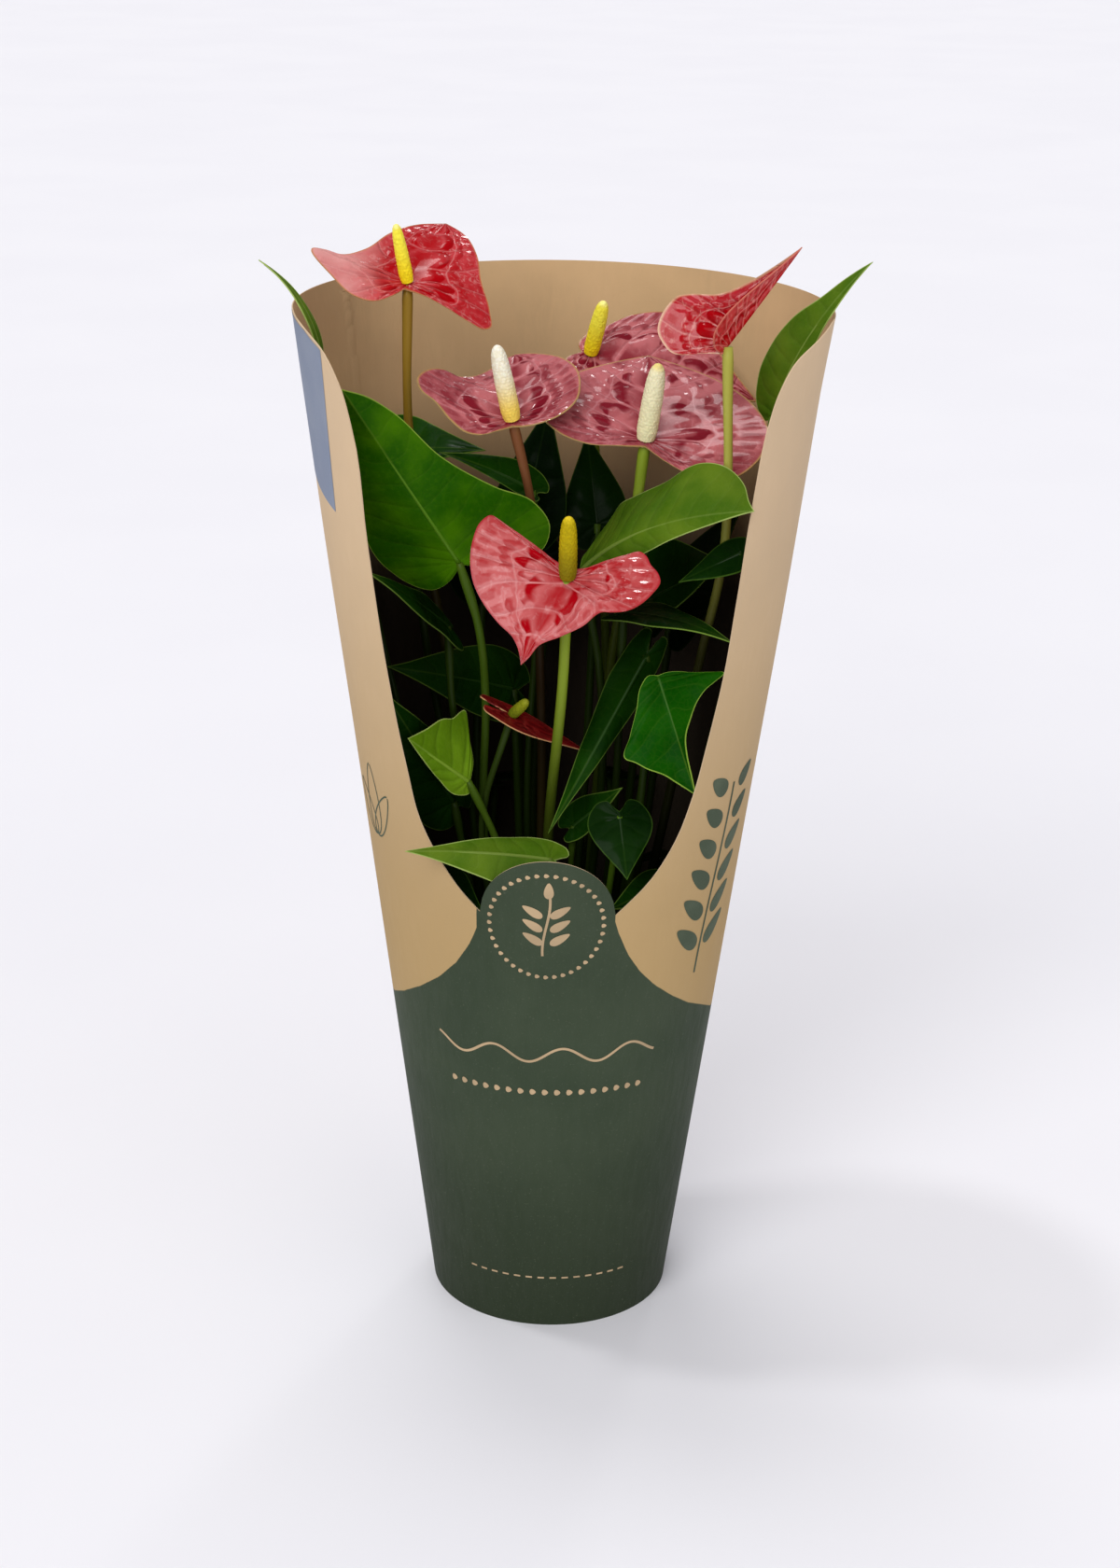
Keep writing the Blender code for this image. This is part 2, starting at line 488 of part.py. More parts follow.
def sleeve():
    """The paper cone with its front window and tab, as a sheet thickened inwards."""
    slope = (SLEEVE_RIM_RADIUS - SLEEVE_FOOT_RADIUS) / SLEEVE_HEIGHT
    left_angles, left_heights = zip(*WINDOW_LEFT)
    right_angles, right_heights = zip(*WINDOW_RIGHT)
    points = []
    number = {}
    faces = []

    def point(angle, z):
        key = (round(angle % 360, 2), round(z, 2))
        if key not in number:
            number[key] = len(points)
            radius = SLEEVE_FOOT_RADIUS + slope * z
            points.append((radius * sin(radians(angle)), -radius * cos(radians(angle)), z))
        return number[key]

    def strip(row, after):
        for a, b, c, d in zip(row, row[1:], after[1:], after):
            for triangle in ((a, b, c), (a, c, d)):
                if len(set(triangle)) == 3:
                    faces.append(triangle)

    def back_angles(z):
        start = np.interp(z, right_heights, right_angles)
        end = 360 + np.interp(z, left_heights, left_angles)
        return np.linspace(start, end, SLEEVE_COLUMNS + 1)

    back = back_angles(NOTCH_Z)
    front = np.linspace(back[-1], 360 + back[0], TAB_COLUMNS + 1)
    ring = [*back, *front[1:]]
    strip([point(a, 0) for a in ring], [point(a, NOTCH_Z) for a in ring])
    rows = [[point(a, z) for a in back_angles(z)] for z in WINDOW_LEVELS]
    for row, after in zip(rows, rows[1:]):
        strip(row, after)
    middle = (front[0] + front[-1]) / 2
    notch_radius = SLEEVE_FOOT_RADIUS + slope * NOTCH_Z
    tops = []
    for angle in front:
        arc = radians(angle - middle) * notch_radius
        tops.append(TAB_CENTRE_Z + sqrt(max(TAB_RADIUS**2 - arc**2, (NOTCH_Z - TAB_CENTRE_Z) ** 2)))
    rows = [[point(a, NOTCH_Z + (top - NOTCH_Z) * row / TAB_ROWS) for a, top in zip(front, tops)]
            for row in range(TAB_ROWS + 1)]
    for row, after in zip(rows, rows[1:]):
        strip(row, after)
    thing = new_object("sleeve", mesh_from("sleeve", points, faces))
    solid = thing.modifiers.new("paper", "SOLIDIFY")
    solid.thickness = PAPER * MM
    solid.offset = -1
    return as_mesh(thing, "sleeve")


def turned(name, outline, steps):
    """The outline of (radius, height) pairs turned round the Z axis."""
    count = len(outline)
    edges = [(i, i + 1) for i in range(count - 1)]
    mesh = bpy.data.meshes.new(name)
    mesh.from_pydata([(r * MM, 0, z * MM) for r, z in outline], edges, [])
    thing = new_object(name, mesh)
    screw = thing.modifiers.new("turn", "SCREW")
    screw.steps = steps
    screw.render_steps = steps
    screw.use_merge_vertices = True
    screw.merge_threshold = 1e-5
    return as_mesh(thing, name)


def cylinders(name, places, low, high, sides):
    """Upright cylinders at the (x, y, radius) places, in one mesh that serves as a cutter."""
    work = bmesh.new()
    for x, y, radius in places:
        made = bmesh.ops.create_cone(work, cap_ends=True, segments=sides, radius1=radius * MM,
                                     radius2=radius * MM, depth=(high - low) * MM)
        bmesh.ops.translate(work, verts=made["verts"], vec=Vector((x, y, (low + high) / 2)) * MM)
    mesh = bpy.data.meshes.new(name)
    work.to_mesh(mesh)
    work.free()
    cutter = new_object(name, mesh)
    cutter.hide_render = True
    cutter.display_type = "WIRE"
    return cutter


def pot():
    body = turned("pot", POT_OUTLINE, POT_STEPS)
    turns = [2 * pi * (k + 0.5) / DRAIN_HOLES for k in range(DRAIN_HOLES)]
    places = [(DRAIN_RING * cos(turn), DRAIN_RING * sin(turn), DRAIN_RADIUS) for turn in turns]
    return combine(body, cylinders("drain_cutter", places, -2, 4, 8), "DIFFERENCE")


def soil():
    body = turned("soil", SOIL_OUTLINE, POT_STEPS)
    places = [(x, y, low + HOLE_SLACK) for (x, y), _, low, _ in STALKS.values()]
    return combine(body, cylinders("hole_cutter", places, HOLE_FLOOR, 100, HOLE_SIDES), "DIFFERENCE")


def bloom(name):
    """The spathe, with the stem and the spadix each cut back to a small gap from it."""
    blade = Blade(**SPATHES[name])
    steps, rings = SPATHE_GRIDS.get(name, SPATHE_GRID)
    spathe = thick_blade(name + "_spathe", blade, steps, rings)
    paint(spathe, SPATHE_COLOURS.get(name, ROSE), 0.3)
    stem = stalk(name, blade, 0.4, 10)
    tip, radius = SPADICES[name]
    way = unit(np.array(tip) - blade.base)
    line = evenly(np.array([blade.base + 0.4 * way, np.array(tip, float)]), 6)
    spadix = rod(name + "_spadix", line, [(share, size * radius) for share, size in SPADIX_SHAPE], 2)
    for thing, colour in ((stem, STALK_GREEN), (spadix, SPADIX_COLOURS.get(name, YELLOW))):
        cutter = thick_blade("cutter", blade, steps, rings, BLADE + 2 * GAP)
        thing = combine(thing, cutter, "DIFFERENCE")
        drop_scraps(thing)
        paint(thing, colour, 0.5)


def leaf(name):
    blade = Blade(**LEAVES[name])
    area = blade.length * max(half[:, 1].max() for half in blade.halves.values())
    steps, rings = (9, 3) if area > 850 else (8, 2)
    lamina = thick_blade(name, blade, steps, rings)
    thing = combine(lamina, stalk(name, blade, 0, 8), "UNION")
    paint(thing, LEAF_GREEN, 0.4)


def main():
    for thing in list(bpy.data.objects):
        bpy.data.objects.remove(thing)
    paint(sleeve(), KRAFT, 0.85)
    paint(pot(), BLACK_PLASTIC, 0.45)
    paint(soil(), PEAT, 0.95)
    for name in SPATHES:
        bloom(name)
    for name in LEAVES:
        leaf(name)


main()
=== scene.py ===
from math import cos, pi, radians, sin

import bpy
import numpy as np
from mathutils import Matrix, Vector

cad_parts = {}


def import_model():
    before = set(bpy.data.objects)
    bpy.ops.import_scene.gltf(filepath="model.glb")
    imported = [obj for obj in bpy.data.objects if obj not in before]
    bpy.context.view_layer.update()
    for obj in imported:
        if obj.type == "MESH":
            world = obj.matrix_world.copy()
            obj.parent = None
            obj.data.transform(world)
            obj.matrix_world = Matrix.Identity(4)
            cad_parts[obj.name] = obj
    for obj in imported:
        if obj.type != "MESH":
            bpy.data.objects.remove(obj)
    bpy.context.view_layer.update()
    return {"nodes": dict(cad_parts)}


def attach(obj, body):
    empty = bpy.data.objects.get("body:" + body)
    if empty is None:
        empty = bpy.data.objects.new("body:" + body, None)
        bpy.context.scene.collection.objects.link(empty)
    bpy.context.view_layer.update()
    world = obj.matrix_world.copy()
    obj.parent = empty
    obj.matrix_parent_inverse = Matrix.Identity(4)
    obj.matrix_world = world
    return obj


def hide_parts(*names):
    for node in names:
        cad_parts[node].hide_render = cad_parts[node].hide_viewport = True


# The look of a potted anthurium in a conical paper sleeve. Lengths in the tables are millimetres. X is to the
# right, Y to the back, Z up, and the origin is the centre of the pot's base

MM = 0.001

SLEEVE_HEIGHT = 420
SLEEVE_FOOT_RADIUS = 50
SLEEVE_RIM_RADIUS = 104
PAPER = 0.45
NOTCH_Z = 196.7
TAB_RADIUS = 27
TAB_CENTRE_Z = 194.5

STEM_BOTTOM = 78
SOIL_LEVEL = 92

# The window's two edges as (angle round the sleeve in degrees from the front, height)
WINDOW_LEFT = [(-22.7, 196.7), (-29, 204.8), (-35.3, 215.8), (-41.5, 230.9), (-44.5, 251), (-48.8, 297.3),
               (-50.3, 340.7), (-51.2, 386.8), (-54, 401.3), (-60.1, 412.6), (-68.4, 417.2), (-82, 420)]
WINDOW_RIGHT = [(18.4, 196.7), (29.4, 210.9), (36.6, 226.3), (40.5, 242.3), (43.5, 265), (46, 291.4),
                (46.6, 321), (47.2, 364), (48.8, 390), (51.5, 402.3), (56.1, 411.3), (67.1, 417), (76, 420)]

# Half of a heart-shaped leaf, from the notch at the stalk round the lobe to the tip. Along the midrib 1 is
# the tip and -1 the end of the lobe, and across it 1 is the widest place
HEART = [(-0.2, 0), (-0.54, 0.14), (-1, 0.34), (-0.96, 0.6), (-0.46, 0.86), (0.1, 1), (0.3, 0.9),
         (0.5, 0.66), (0.7, 0.38), (0.87, 0.15), (1, 0)]

NOTCH_DEPTH = 2

# A spathe or a leaf lies from its base, where the stalk joins, to its tip, with its upper face towards
# "face". "left" and "right" are the halves seen from the upper face with the tip ahead: either an outline, or
# the widest place and the lobe of a heart. Where no right half is given, it is like the left. Angles are in
# degrees: "fold" lifts a half at its base and at its tip, "curl" bends it more per millimetre outwards, and
# "arch" bends the midrib down towards the tip
SPATHES = {
    "bloom1": dict(
        base=(-60, 0, 428), tip=(-47, 41, 444), face=(0, -0.35, 0.94), arch=20,
        left=[(-4, 0), (-9, 3), (-15, 9), (-16, 17), (-12, 27), (-5, 38), (-3, 34), (-1, 27), (7, 20.5),
              (23, 15.5), (38, 8), (46, 0)],
        right=[(-4, 0), (-4, 9), (-5, 18), (-5.5, 29), (-4.5, 34), (-1, 36.5), (6, 33.5), (18, 25),
               (31, 18.5), (41, 10), (46, 0)],
        fold_left=(16, 8), fold_right=(-8, -5), curl_left=0.34, curl_right=-0.92),
    "bloom2": dict(
        base=(-19, -25, 381), tip=(-19, 14, 398), face=(0, -0.4, 0.9), arch=15,
        left=[(-4, 0), (-7, 6), (-10, 12), (-10, 18), (-6, 24), (1, 31), (4, 37), (8, 38.5), (14, 36),
              (20, 28), (19, 22), (21, 17), (28, 10), (38, 4), (43, 0)],
        right=[(-4, 0), (-4, 6), (-3, 12), (0, 20), (5, 25), (15, 26.5), (30, 23), (40, 15), (43.5, 6),
               (43, 0)],
        fold_left=(5, 5), fold_right=(5, 0), curl_left=0.7, curl_right=0.7),
    "bloom3": dict(
        base=(32, -20, 373), tip=(34, 30, 395), face=(0, -0.4, 0.9), arch=20,
        left=[(-4, 0), (-5, 10), (-6, 22), (-2, 34), (6, 41), (18, 40), (34, 30), (48, 14), (56, 3), (58, 0)],
        right=[(-4, 0), (-11, 8), (-18, 20), (-19, 32), (-10, 43), (5, 47), (20, 42), (36, 30), (49, 14),
               (58, 0)],
        fold_left=(8, 5), fold_right=(2, 0)),
    "bloom4": dict(
        base=(11, 52, 391), tip=(79, 45, 374), face=(-0.1, -0.55, 0.83), arch=15,
        left=[(-4, 0), (-6, 4), (-4, 10), (2, 16), (12, 26), (28, 32), (42, 26), (54, 14), (64, 5), (70, 0)],
        right=[(-4, 0), (-9, 5), (-8, 10), (0, 14), (15, 16), (35, 14), (55, 7), (70, 0)]),
    "bloom5": dict(
        base=(61, -42, 414), tip=(87, -38, 450), face=(-0.2, -1, 0.25), arch=-10,
        left=[(-4, 0), (-8, 6), (-12, 10.5), (-14.6, 15.3), (-13.7, 20.3), (-11.4, 24.6), (-6.6, 27),
              (-2, 27.6), (3, 26.7), (6, 23.8), (13, 14.4), (22.4, 8.5), (33, 4.1), (44.6, 0)],
        right=[(-4, 0), (-4, 4.5), (-1, 8.5), (6, 10.4), (15, 9.4), (25, 6.6), (35, 3.2), (44.6, 0)],
        fold_left=(-5, 20), fold_right=(130, 122)),
    "bloom6": dict(
        base=(3, -57, 328), tip=(-14, -74, 299), face=(0, -0.8, 0.6), arch=10, fold_left=(17, 6),
        left=[(-4, 0), (-6.4, 4.6), (-11.8, 10.4), (-17, 16.8), (-19.8, 21), (-19, 24), (-16.3, 27.3),
              (-13.9, 31.9), (-11.4, 34.2), (-5.5, 33.6), (0.8, 30.6), (3.3, 27.9), (6.1, 22.2), (7.2, 19),
              (14.8, 14.6), (22.2, 8.3), (28.5, 2.6), (34.5, 1.3), (38, 0)],
        right=[(-4, 0), (-4, 7), (-5.6, 15), (-7.2, 24), (-8.4, 32), (-8.8, 37.8), (-4.6, 39.7), (2.6, 39),
               (10.6, 36), (18.3, 30.4), (23.8, 23), (27.6, 15), (30.3, 7.2), (34, 2.9), (38, 0)]),
    "bloom7": dict(
        base=(-18, -27, 263), tip=(12, -27, 248), face=(0.42, -0.05, 0.9),
        left=(12, 14), right=(9, 12), fold_left=(-5, -5), fold_right=(-10, -10)),
}

# The tip of each spadix and its radius
SPADICES = {
    "bloom1": ((-64, -6, 451), 2.9),
    "bloom2": ((-25, -33, 411), 3.6),
    "bloom3": ((36, -28, 404), 3.9),
    "bloom4": ((16, 44, 414), 3.2),
    "bloom5": ((64.6, -41.4, 427.4), 1.2),
    "bloom6": ((3, -65, 354), 3.4),
    "bloom7": ((-12, -36, 272), 2.2),
}

# Shares of a spadix's radius, from its foot to its tip. That of bloom 5 has a thin stalk inside the fold
SPADIX_SHAPE = [(0, 0.86), (0.12, 1), (0.5, 0.99), (0.75, 0.9), (0.88, 0.76), (0.94, 0.6), (0.98, 0.38),
                (1, 0.12)]
SPADIX_SHAPES = {
    "bloom1": [(0, 0.8), (0.15, 0.92), (0.5, 0.86), (0.8, 0.72), (0.93, 0.55), (0.98, 0.36), (1, 0.12)],
    "bloom5": [(0, 0.1), (0.6, 0.12), (0.8, 0.42), (0.9, 0.42), (0.96, 0.3), (1, 0.08)],
}

LEAVES = {
    "leaf_01": dict(
        base=(-39, -24, 324), tip=(-82, -45, 396), face=(0.2, -0.9, 0.4), fold_left=(-48, -48),
        fold_right=(15, 4),
        left=[(-1, 0), (-6, 8), (-8, 18), (-2, 26), (8, 30), (25, 29), (42, 23), (58, 14), (70, 6), (78, 0)],
        right=[(-1, 0), (-7, 8), (-14, 20.5), (-15, 31), (-9, 37), (4, 37), (16, 28), (37, 17), (61, 11),
               (71, 6), (78, 0)]),
    "leaf_02": dict(
        base=(-78, 28, 356), tip=(-30, 12, 360), face=(0, -0.5, 0.85), arch=10, left=(20, 8), right=(14, 8)),
    "leaf_03": dict(
        base=(-11, -4, 348), tip=(-48, -1, 362), face=(0, -0.6, 0.8), arch=30, left=(4, 4), right=(10, 6),
        fold_left=(-30, -30)),
    "leaf_04": dict(
        base=(-15, 25, 327), tip=(-5, 35, 375), face=(0, -0.9, 0.4), left=(14, 10), right=(16, 10)),
    "leaf_05": dict(
        base=(8, -27.6, 323), tip=(71, -72, 359), face=(0, -0.6, 0.8), arch=45, fold_left=(-10, 0),
        fold_right=(-40, -20),
        left=[(-1, 0), (-4, 10), (-4, 22), (5, 29), (18, 26), (32, 26), (46, 28), (56, 23), (63, 13), (66, 4),
              (68, 0)],
        right=[(-1, 0), (-5, 5), (-4, 9), (6, 10), (20, 9), (40, 7), (58, 3), (68, 0)]),
    "leaf_06": dict(
        base=(37, 0, 304), tip=(64, -22, 326), face=(-0.1, -0.7, 0.7), left=(24, 10), right=(12, 10)),
    "leaf_07": dict(base=(25, -24, 305), tip=(66, -55, 303), face=(0.05, -0.1, 0.99), arch=25, left=(13, 5)),
    "leaf_08": dict(
        base=(39, -38, 283), tip=(54, -58, 242), face=(0, -0.9, 0.4), fold_left=(15, 65),
        left=[(-1, 0), (-1, 4), (0.5, 9), (2.4, 13), (5, 21), (7, 26.3), (9, 21), (10.4, 17), (13.4, 12.9),
              (19.5, 8.2), (25.5, 4), (33, 2), (40, 1.2), (48, 0)],
        right=[(-1, 0), (-2, 3.5), (1, 7.5), (9.4, 12), (18.7, 17.6), (26.3, 21.9), (28.7, 18.9), (32.7, 15),
               (36.8, 9.6), (41.6, 5.4), (48, 0)]),
    "leaf_09": dict(
        base=(34, -32, 290), tip=(-3, -50, 222), face=(-0.55, -0.6, 0.4), left=(8, 10), right=(11, 10),
        fold_left=(-70, -70)),
    "leaf_10": dict(
        base=(25, -48, 229), tip=(28, -65, 209), face=(0.1, -0.8, 0.6), left=(13, 7),
        fold_left=(-10, -10), fold_right=(-10, -10)),
    "leaf_11": dict(base=(44, -35, 195), tip=(21, -60, 194), face=(0.1, -0.5, 0.8), left=(9, 6)),
    "leaf_12": dict(
        base=(-35, -30, 236), tip=(-58, -48, 260), face=(0.1, -0.7, 0.7), fold_left=(-40, -40),
        left=[(-1, 0), (-4, 4), (0, 7), (10, 6), (20, 3), (28, 0)],
        right=[(-1, 0), (0, 8), (3, 15), (5, 22), (7, 27), (12, 20), (16, 17), (22, 8), (28, 0)]),
    "leaf_13": dict(
        base=(-41, -22, 224), tip=(-67, -48, 279), face=(0.5, -0.5, 0.4), left=(16, 10),
        fold_left=(-40, -40)),
    "leaf_14": dict(
        base=(-18, 14, 260), tip=(-68, -14, 278), face=(0.1, -0.75, 0.65), arch=10, left=(15, 10),
        right=(19, 10), fold_left=(-12, -12), fold_right=(-8, -8)),
    "leaf_15": dict(
        base=(-2, -62, 216), tip=(-58, -71, 222), face=(0, -0.45, 0.9), arch=15, left=(14, 8), right=(10, 8),
        fold_left=(-35, -35)),
    "leaf_16": dict(base=(-47, -38, 198), tip=(-28, -62, 194), face=(-0.1, -0.5, 0.8), left=(9, 6)),
    "leaf_17": dict(
        base=(-44, -10, 294), tip=(-73, -46, 326), face=(0.1, -0.5, 0.8), arch=10, left=(12, 9),
        right=(10, 7)),
    "leaf_18": dict(
        base=(81, -10, 380), tip=(116, -14, 441), face=(-0.75, -0.55, 0.3), arch=46, fold_left=(5, 5),
        fold_right=(-10, -15),
        left=[(-1, 0), (-4, 5), (0, 10), (8, 13), (21, 15), (33, 12), (46, 6.5), (56, 3.5), (67, 0)],
        right=[(-1, 0), (-3, 4), (0, 6), (12, 6), (28, 5), (46, 2.5), (67, 0)]),
    "leaf_19": dict(base=(-92, -21, 404), tip=(-114, -25, 440), face=(1, -0.3, 0.5), arch=54, left=(4, 3)),
    "leaf_20": dict(
        base=(7, -36, 220), tip=(26, -40, 238), face=(0.1, -0.5, 0.85), left=(10, 6), right=(7, 6)),
    "leaf_21": dict(base=(68, -50, 337), tip=(45, -50, 325), face=(0.1, -0.5, 0.8), left=(8, 5)),
    "leaf_22": dict(base=(15, 30, 326), tip=(10, 45, 361), face=(0, -0.9, 0.4), left=(13, 10)),
    "leaf_23": dict(base=(-32, 40, 300), tip=(-58, 68, 348), face=(0.3, -0.4, 0.85), arch=25, left=(17, 11)),
    "leaf_24": dict(base=(-6, 50, 282), tip=(-10, 84, 316), face=(0, -0.4, 0.9), arch=30, left=(17, 11)),
    "leaf_25": dict(
        base=(46, 34, 285), tip=(75.5, 49.5, 330), face=(-0.3, -0.4, 0.85), arch=25, left=(17, 11)),
    "leaf_26": dict(base=(-26, 42, 210), tip=(-44, 57, 198), face=(0.2, -0.2, 0.95), arch=30, left=(12, 8)),
    "leaf_27": dict(base=(22, 42, 214), tip=(38, 60, 204), face=(-0.2, -0.2, 0.95), arch=30, left=(12, 8)),
    "leaf_28": dict(base=(44, 24, 182), tip=(62, 31, 178), face=(-0.2, 0, 0.95), arch=30, left=(11, 7)),
}

# Each stalk as its place in the soil, the points it passes, and its radius in the soil and at the top
STALKS = {
    "bloom1": ((-20, 6), [(-45, 14, 270), (-60, 0, 375)], 2.0, 1.7),
    "bloom2": ((-7, -2), [(-7, -4, 268), (-12, -11, 347)], 2.0, 1.7),
    "bloom3": ((12, 4), [(21, -8, 278), (30, -17, 352)], 2.2, 1.9),
    "bloom4": ((5, 25), [(20, 40, 250), (14, 50, 350)], 2.0, 1.7),
    "bloom5": ((26, -14), [(44, -20, 220), (56, -27, 290), (62, -40, 331)], 2.1, 1.7),
    "bloom6": ((-2, -16), [(-3, -27, 212), (2, -50, 289)], 2.2, 2.0),
    "bloom7": ((-11, -15), [(-28, -25, 229), (-22, -28, 250)], 1.6, 1.3),
    "leaf_01": ((-21, -8), [(-30, -5, 221), (-29, -7, 262), (-32, -18, 298)], 1.9, 1.6),
    "leaf_02": ((-27, 12), [(-52, 24, 260), (-66, 30, 330)], 1.9, 1.6),
    "leaf_03": ((-8, 8), [(-12, 4, 220), (-9, 3, 318)], 1.7, 1.3),
    "leaf_04": ((-10, 21), [(-16, 36, 230)], 1.9, 1.6),
    "leaf_05": ((8, -9), [(16, -19, 282)], 1.9, 1.6),
    "leaf_06": ((20, 3), [(30, 2, 220)], 1.9, 1.6),
    "leaf_07": ((16, -4), [(24, -14, 230)], 1.8, 1.5),
    "leaf_08": ((21, -22), [(32, -30, 210), (38, -30, 275)], 1.9, 1.6),
    "leaf_09": ((19, -14), [(30, -18, 200), (37, -24, 280)], 1.8, 1.5),
    "leaf_10": ((13, -24), [(17, -34, 150)], 1.6, 1.3),
    "leaf_11": ((32, -20), [(40, -26, 150)], 1.5, 1.2),
    "leaf_12": ((-17, -27), [(-23, -26, 207)], 1.7, 1.4),
    "leaf_13": ((-24, -18), [(-32, -18, 170)], 1.7, 1.4),
    "leaf_14": ((-13, 13), [(-15, 12, 190)], 1.9, 1.6),
    "leaf_15": ((-2, -34), [(-1, -46, 160)], 1.6, 1.3),
    "leaf_16": ((-32, -22), [(-40, -28, 140)], 1.5, 1.2),
    "leaf_17": ((-29, 1), [(-36, -5, 226), (-42, -14, 262)], 1.7, 1.4),
    "leaf_18": ((35, 4), [(58, 4, 220), (76, -2, 320)], 1.8, 1.5),
    "leaf_19": ((-36, -6), [(-56, -6, 220), (-74, 0, 300), (-84, -8, 360)], 1.6, 1.2),
    "leaf_20": ((4, -26), [(4, -32, 150)], 1.5, 1.2),
    "leaf_21": ((32, -6), [(66, -14, 250), (76, -30, 305)], 1.6, 1.2),
    "leaf_22": ((6, 15), [(12, 28, 220)], 1.9, 1.6),
    "leaf_23": ((-19, 22), [(-33, 28, 200)], 1.9, 1.6),
    "leaf_24": ((-4, 32), [(-10, 38, 200)], 1.9, 1.6),
    "leaf_25": ((22, 18), [(38, 22, 200)], 1.9, 1.6),
    "leaf_26": ((-29, 26), [(-29, 36, 150)], 1.6, 1.3),
    "leaf_27": ((24, 28), [(28, 36, 150)], 1.6, 1.3),
    "leaf_28": ((31, 12), [(37, 20, 140)], 1.6, 1.3),
}

# The upper edge of the dark green print as (angle, height), left of the notch, right of it and round the back
PRINT_EDGE = [(-180, 128), (-130, 129), (-95, 132), (-76, 138), (-62.5, 145), (-49.9, 153.4), (-39.8, 162),
              (-32.2, 171.3), (-27.2, 180.5), (-24.4, 187.8), (-22.9, 194.4), (-22.6, 240), (17.6, 240),
              (17.9, 196), (19.8, 188.6), (23.5, 178.2), (28.3, 169.5), (34.4, 161.7), (42.5, 154),
              (52.2, 146.6), (76.8, 132.8), (95, 129.5), (130, 128), (180, 128)]

SLOPE = (SLEEVE_RIM_RADIUS - SLEEVE_FOOT_RADIUS) / SLEEVE_HEIGHT

# A crease in the paper at the back left, and the heights where it starts and where it is complete
CREASE_ANGLE = 238.5
CREASE_WIDTH = 1.1
CREASE_DEPTH = 0.7
CREASE_RISE = (230, 290)

# The paper sags in two waves, as (depth, times round the sleeve, height of a radian). They rise between the
# first heights and end between the others, so the paper is a true cone below them and at the rim
SAGS = ((0.5, 3, 60), (0.25, 7, -37))
SAG_RISE = (215, 335)
SAG_END = (SLEEVE_HEIGHT, 390)

# The sleeve's steps: round the wide part, round the tab and up each part. They are closer above SWEEP_Z
WALL_COLUMNS = 232
TAB_COLUMNS = 40
TAB_ROWS = 15
LEVELS = 40
FOOT_LEVELS = 50
SWEEP_Z = 380
LEAST_STEP = 0.02

# The angle of the middle of the front, and how far the ink stands off the paper
FRONT = -2.4
INK_LIFT = 0.12

# The bare label at the upper left: its angles, the lowest height and its angle, the rise of the lower edge
# for each degree, how far its top stays below the paper's edge, the greatest height, and how many degrees
# its foot leans
LABEL_ANGLES = (-106, -60)
LABEL_FOOT = 350
LABEL_FOOT_ANGLE = -62.9
LABEL_RISE = 0.45
LABEL_MARGIN = 0.6
LABEL_TOP = SLEEVE_HEIGHT - 1
LABEL_LEAN = 2.9

# The greens: copies of one leaf green, painted darker or lighter for the light each leaf gets. The
# first two are painted shade for leaves deep in the plant, the fifth is painted shade, with a margin
# pale as a painted highlight, for a dark leaf at the front, and the fourth and the last are painted
# light. Each is the deep, the bright and the line colour, the gloss of the upper face, the share of the
# line colour in the rib below, and how much painted shade darkens them
GREENS = [((0.002, 0.013, 0.001), (0.005, 0.024, 0.002), (0.05, 0.11, 0.012), 0.05, 0.04, 0.9),
          ((0.004, 0.030, 0.001), (0.010, 0.056, 0.002), (0.17, 0.28, 0.04), 0.06, 0.04, 0.62),
          ((0.014, 0.078, 0.0003), (0.052, 0.158, 0.0006), (0.26, 0.38, 0.05), 0.025, 0.1, 0.0),
          ((0.048, 0.114, 0.004), (0.096, 0.165, 0.009), (0.34, 0.44, 0.12), 0.07, 0.2, 0.0),
          ((0.002, 0.048, 0.0002), (0.008, 0.085, 0.0004), (0.30, 0.46, 0.06), 0.012, 0.06, 0.0),
          ((0.100, 0.210, 0.005), (0.170, 0.310, 0.011), (0.44, 0.56, 0.14), 0.03, 0.12, 0.0)]

# The number of each leaf's green. The rest have the first, painted shade for leaves deep in the plant
LEAF_GREENS = {"leaf_01": 2, "leaf_05": 3, "leaf_08": 4, "leaf_12": 5, "leaf_15": 3, "leaf_18": 3,
               "leaf_19": 3}
LEAF_GREENS.update((f"leaf_{number:02}", 1) for number in (2, 3, 6, 7, 9, 11, 13, 14, 17, 20))
# The petioles that take the copy of the petiole colours with painted light and less painted shade
LIT_PETIOLES = ("leaf_01", "leaf_12")

# The colours of the stalks at the foot, at the top and in the blush, and how much painted shade darkens
# them. The dark feet are partly painted shade, and "petiole_lit" is a copy of "petiole" with painted light
STEM_LOOKS = {
    "petiole": ((0.035, 0.075, 0.004), (0.08, 0.16, 0.008), (0.11, 0.16, 0.02), 0.84),
    "petiole_lit": ((0.05, 0.10, 0.006), (0.09, 0.17, 0.010), (0.12, 0.18, 0.02), 0.45),
    "leaf_knee": ((0.17, 0.28, 0.04), (0.09, 0.19, 0.02), (0.18, 0.26, 0.06), 0.78),
    "stem_green": ((0.05, 0.09, 0.004), (0.22, 0.30, 0.02), (0.26, 0.30, 0.05), 0.75),
    "stem_light": ((0.006, 0.009, 0.001), (0.38, 0.37, 0.06), (0.36, 0.34, 0.08), 0.9),
    "stem_olive": ((0.10, 0.11, 0.01), (0.26, 0.15, 0.015), (0.28, 0.20, 0.03), 0.9),
    "stem_brown": ((0.12, 0.09, 0.012), (0.21, 0.075, 0.028), (0.26, 0.15, 0.04), 0.9),
    "stem_small": ((0.03, 0.06, 0.005), (0.05, 0.09, 0.008), (0.06, 0.09, 0.015), 0.6),
}

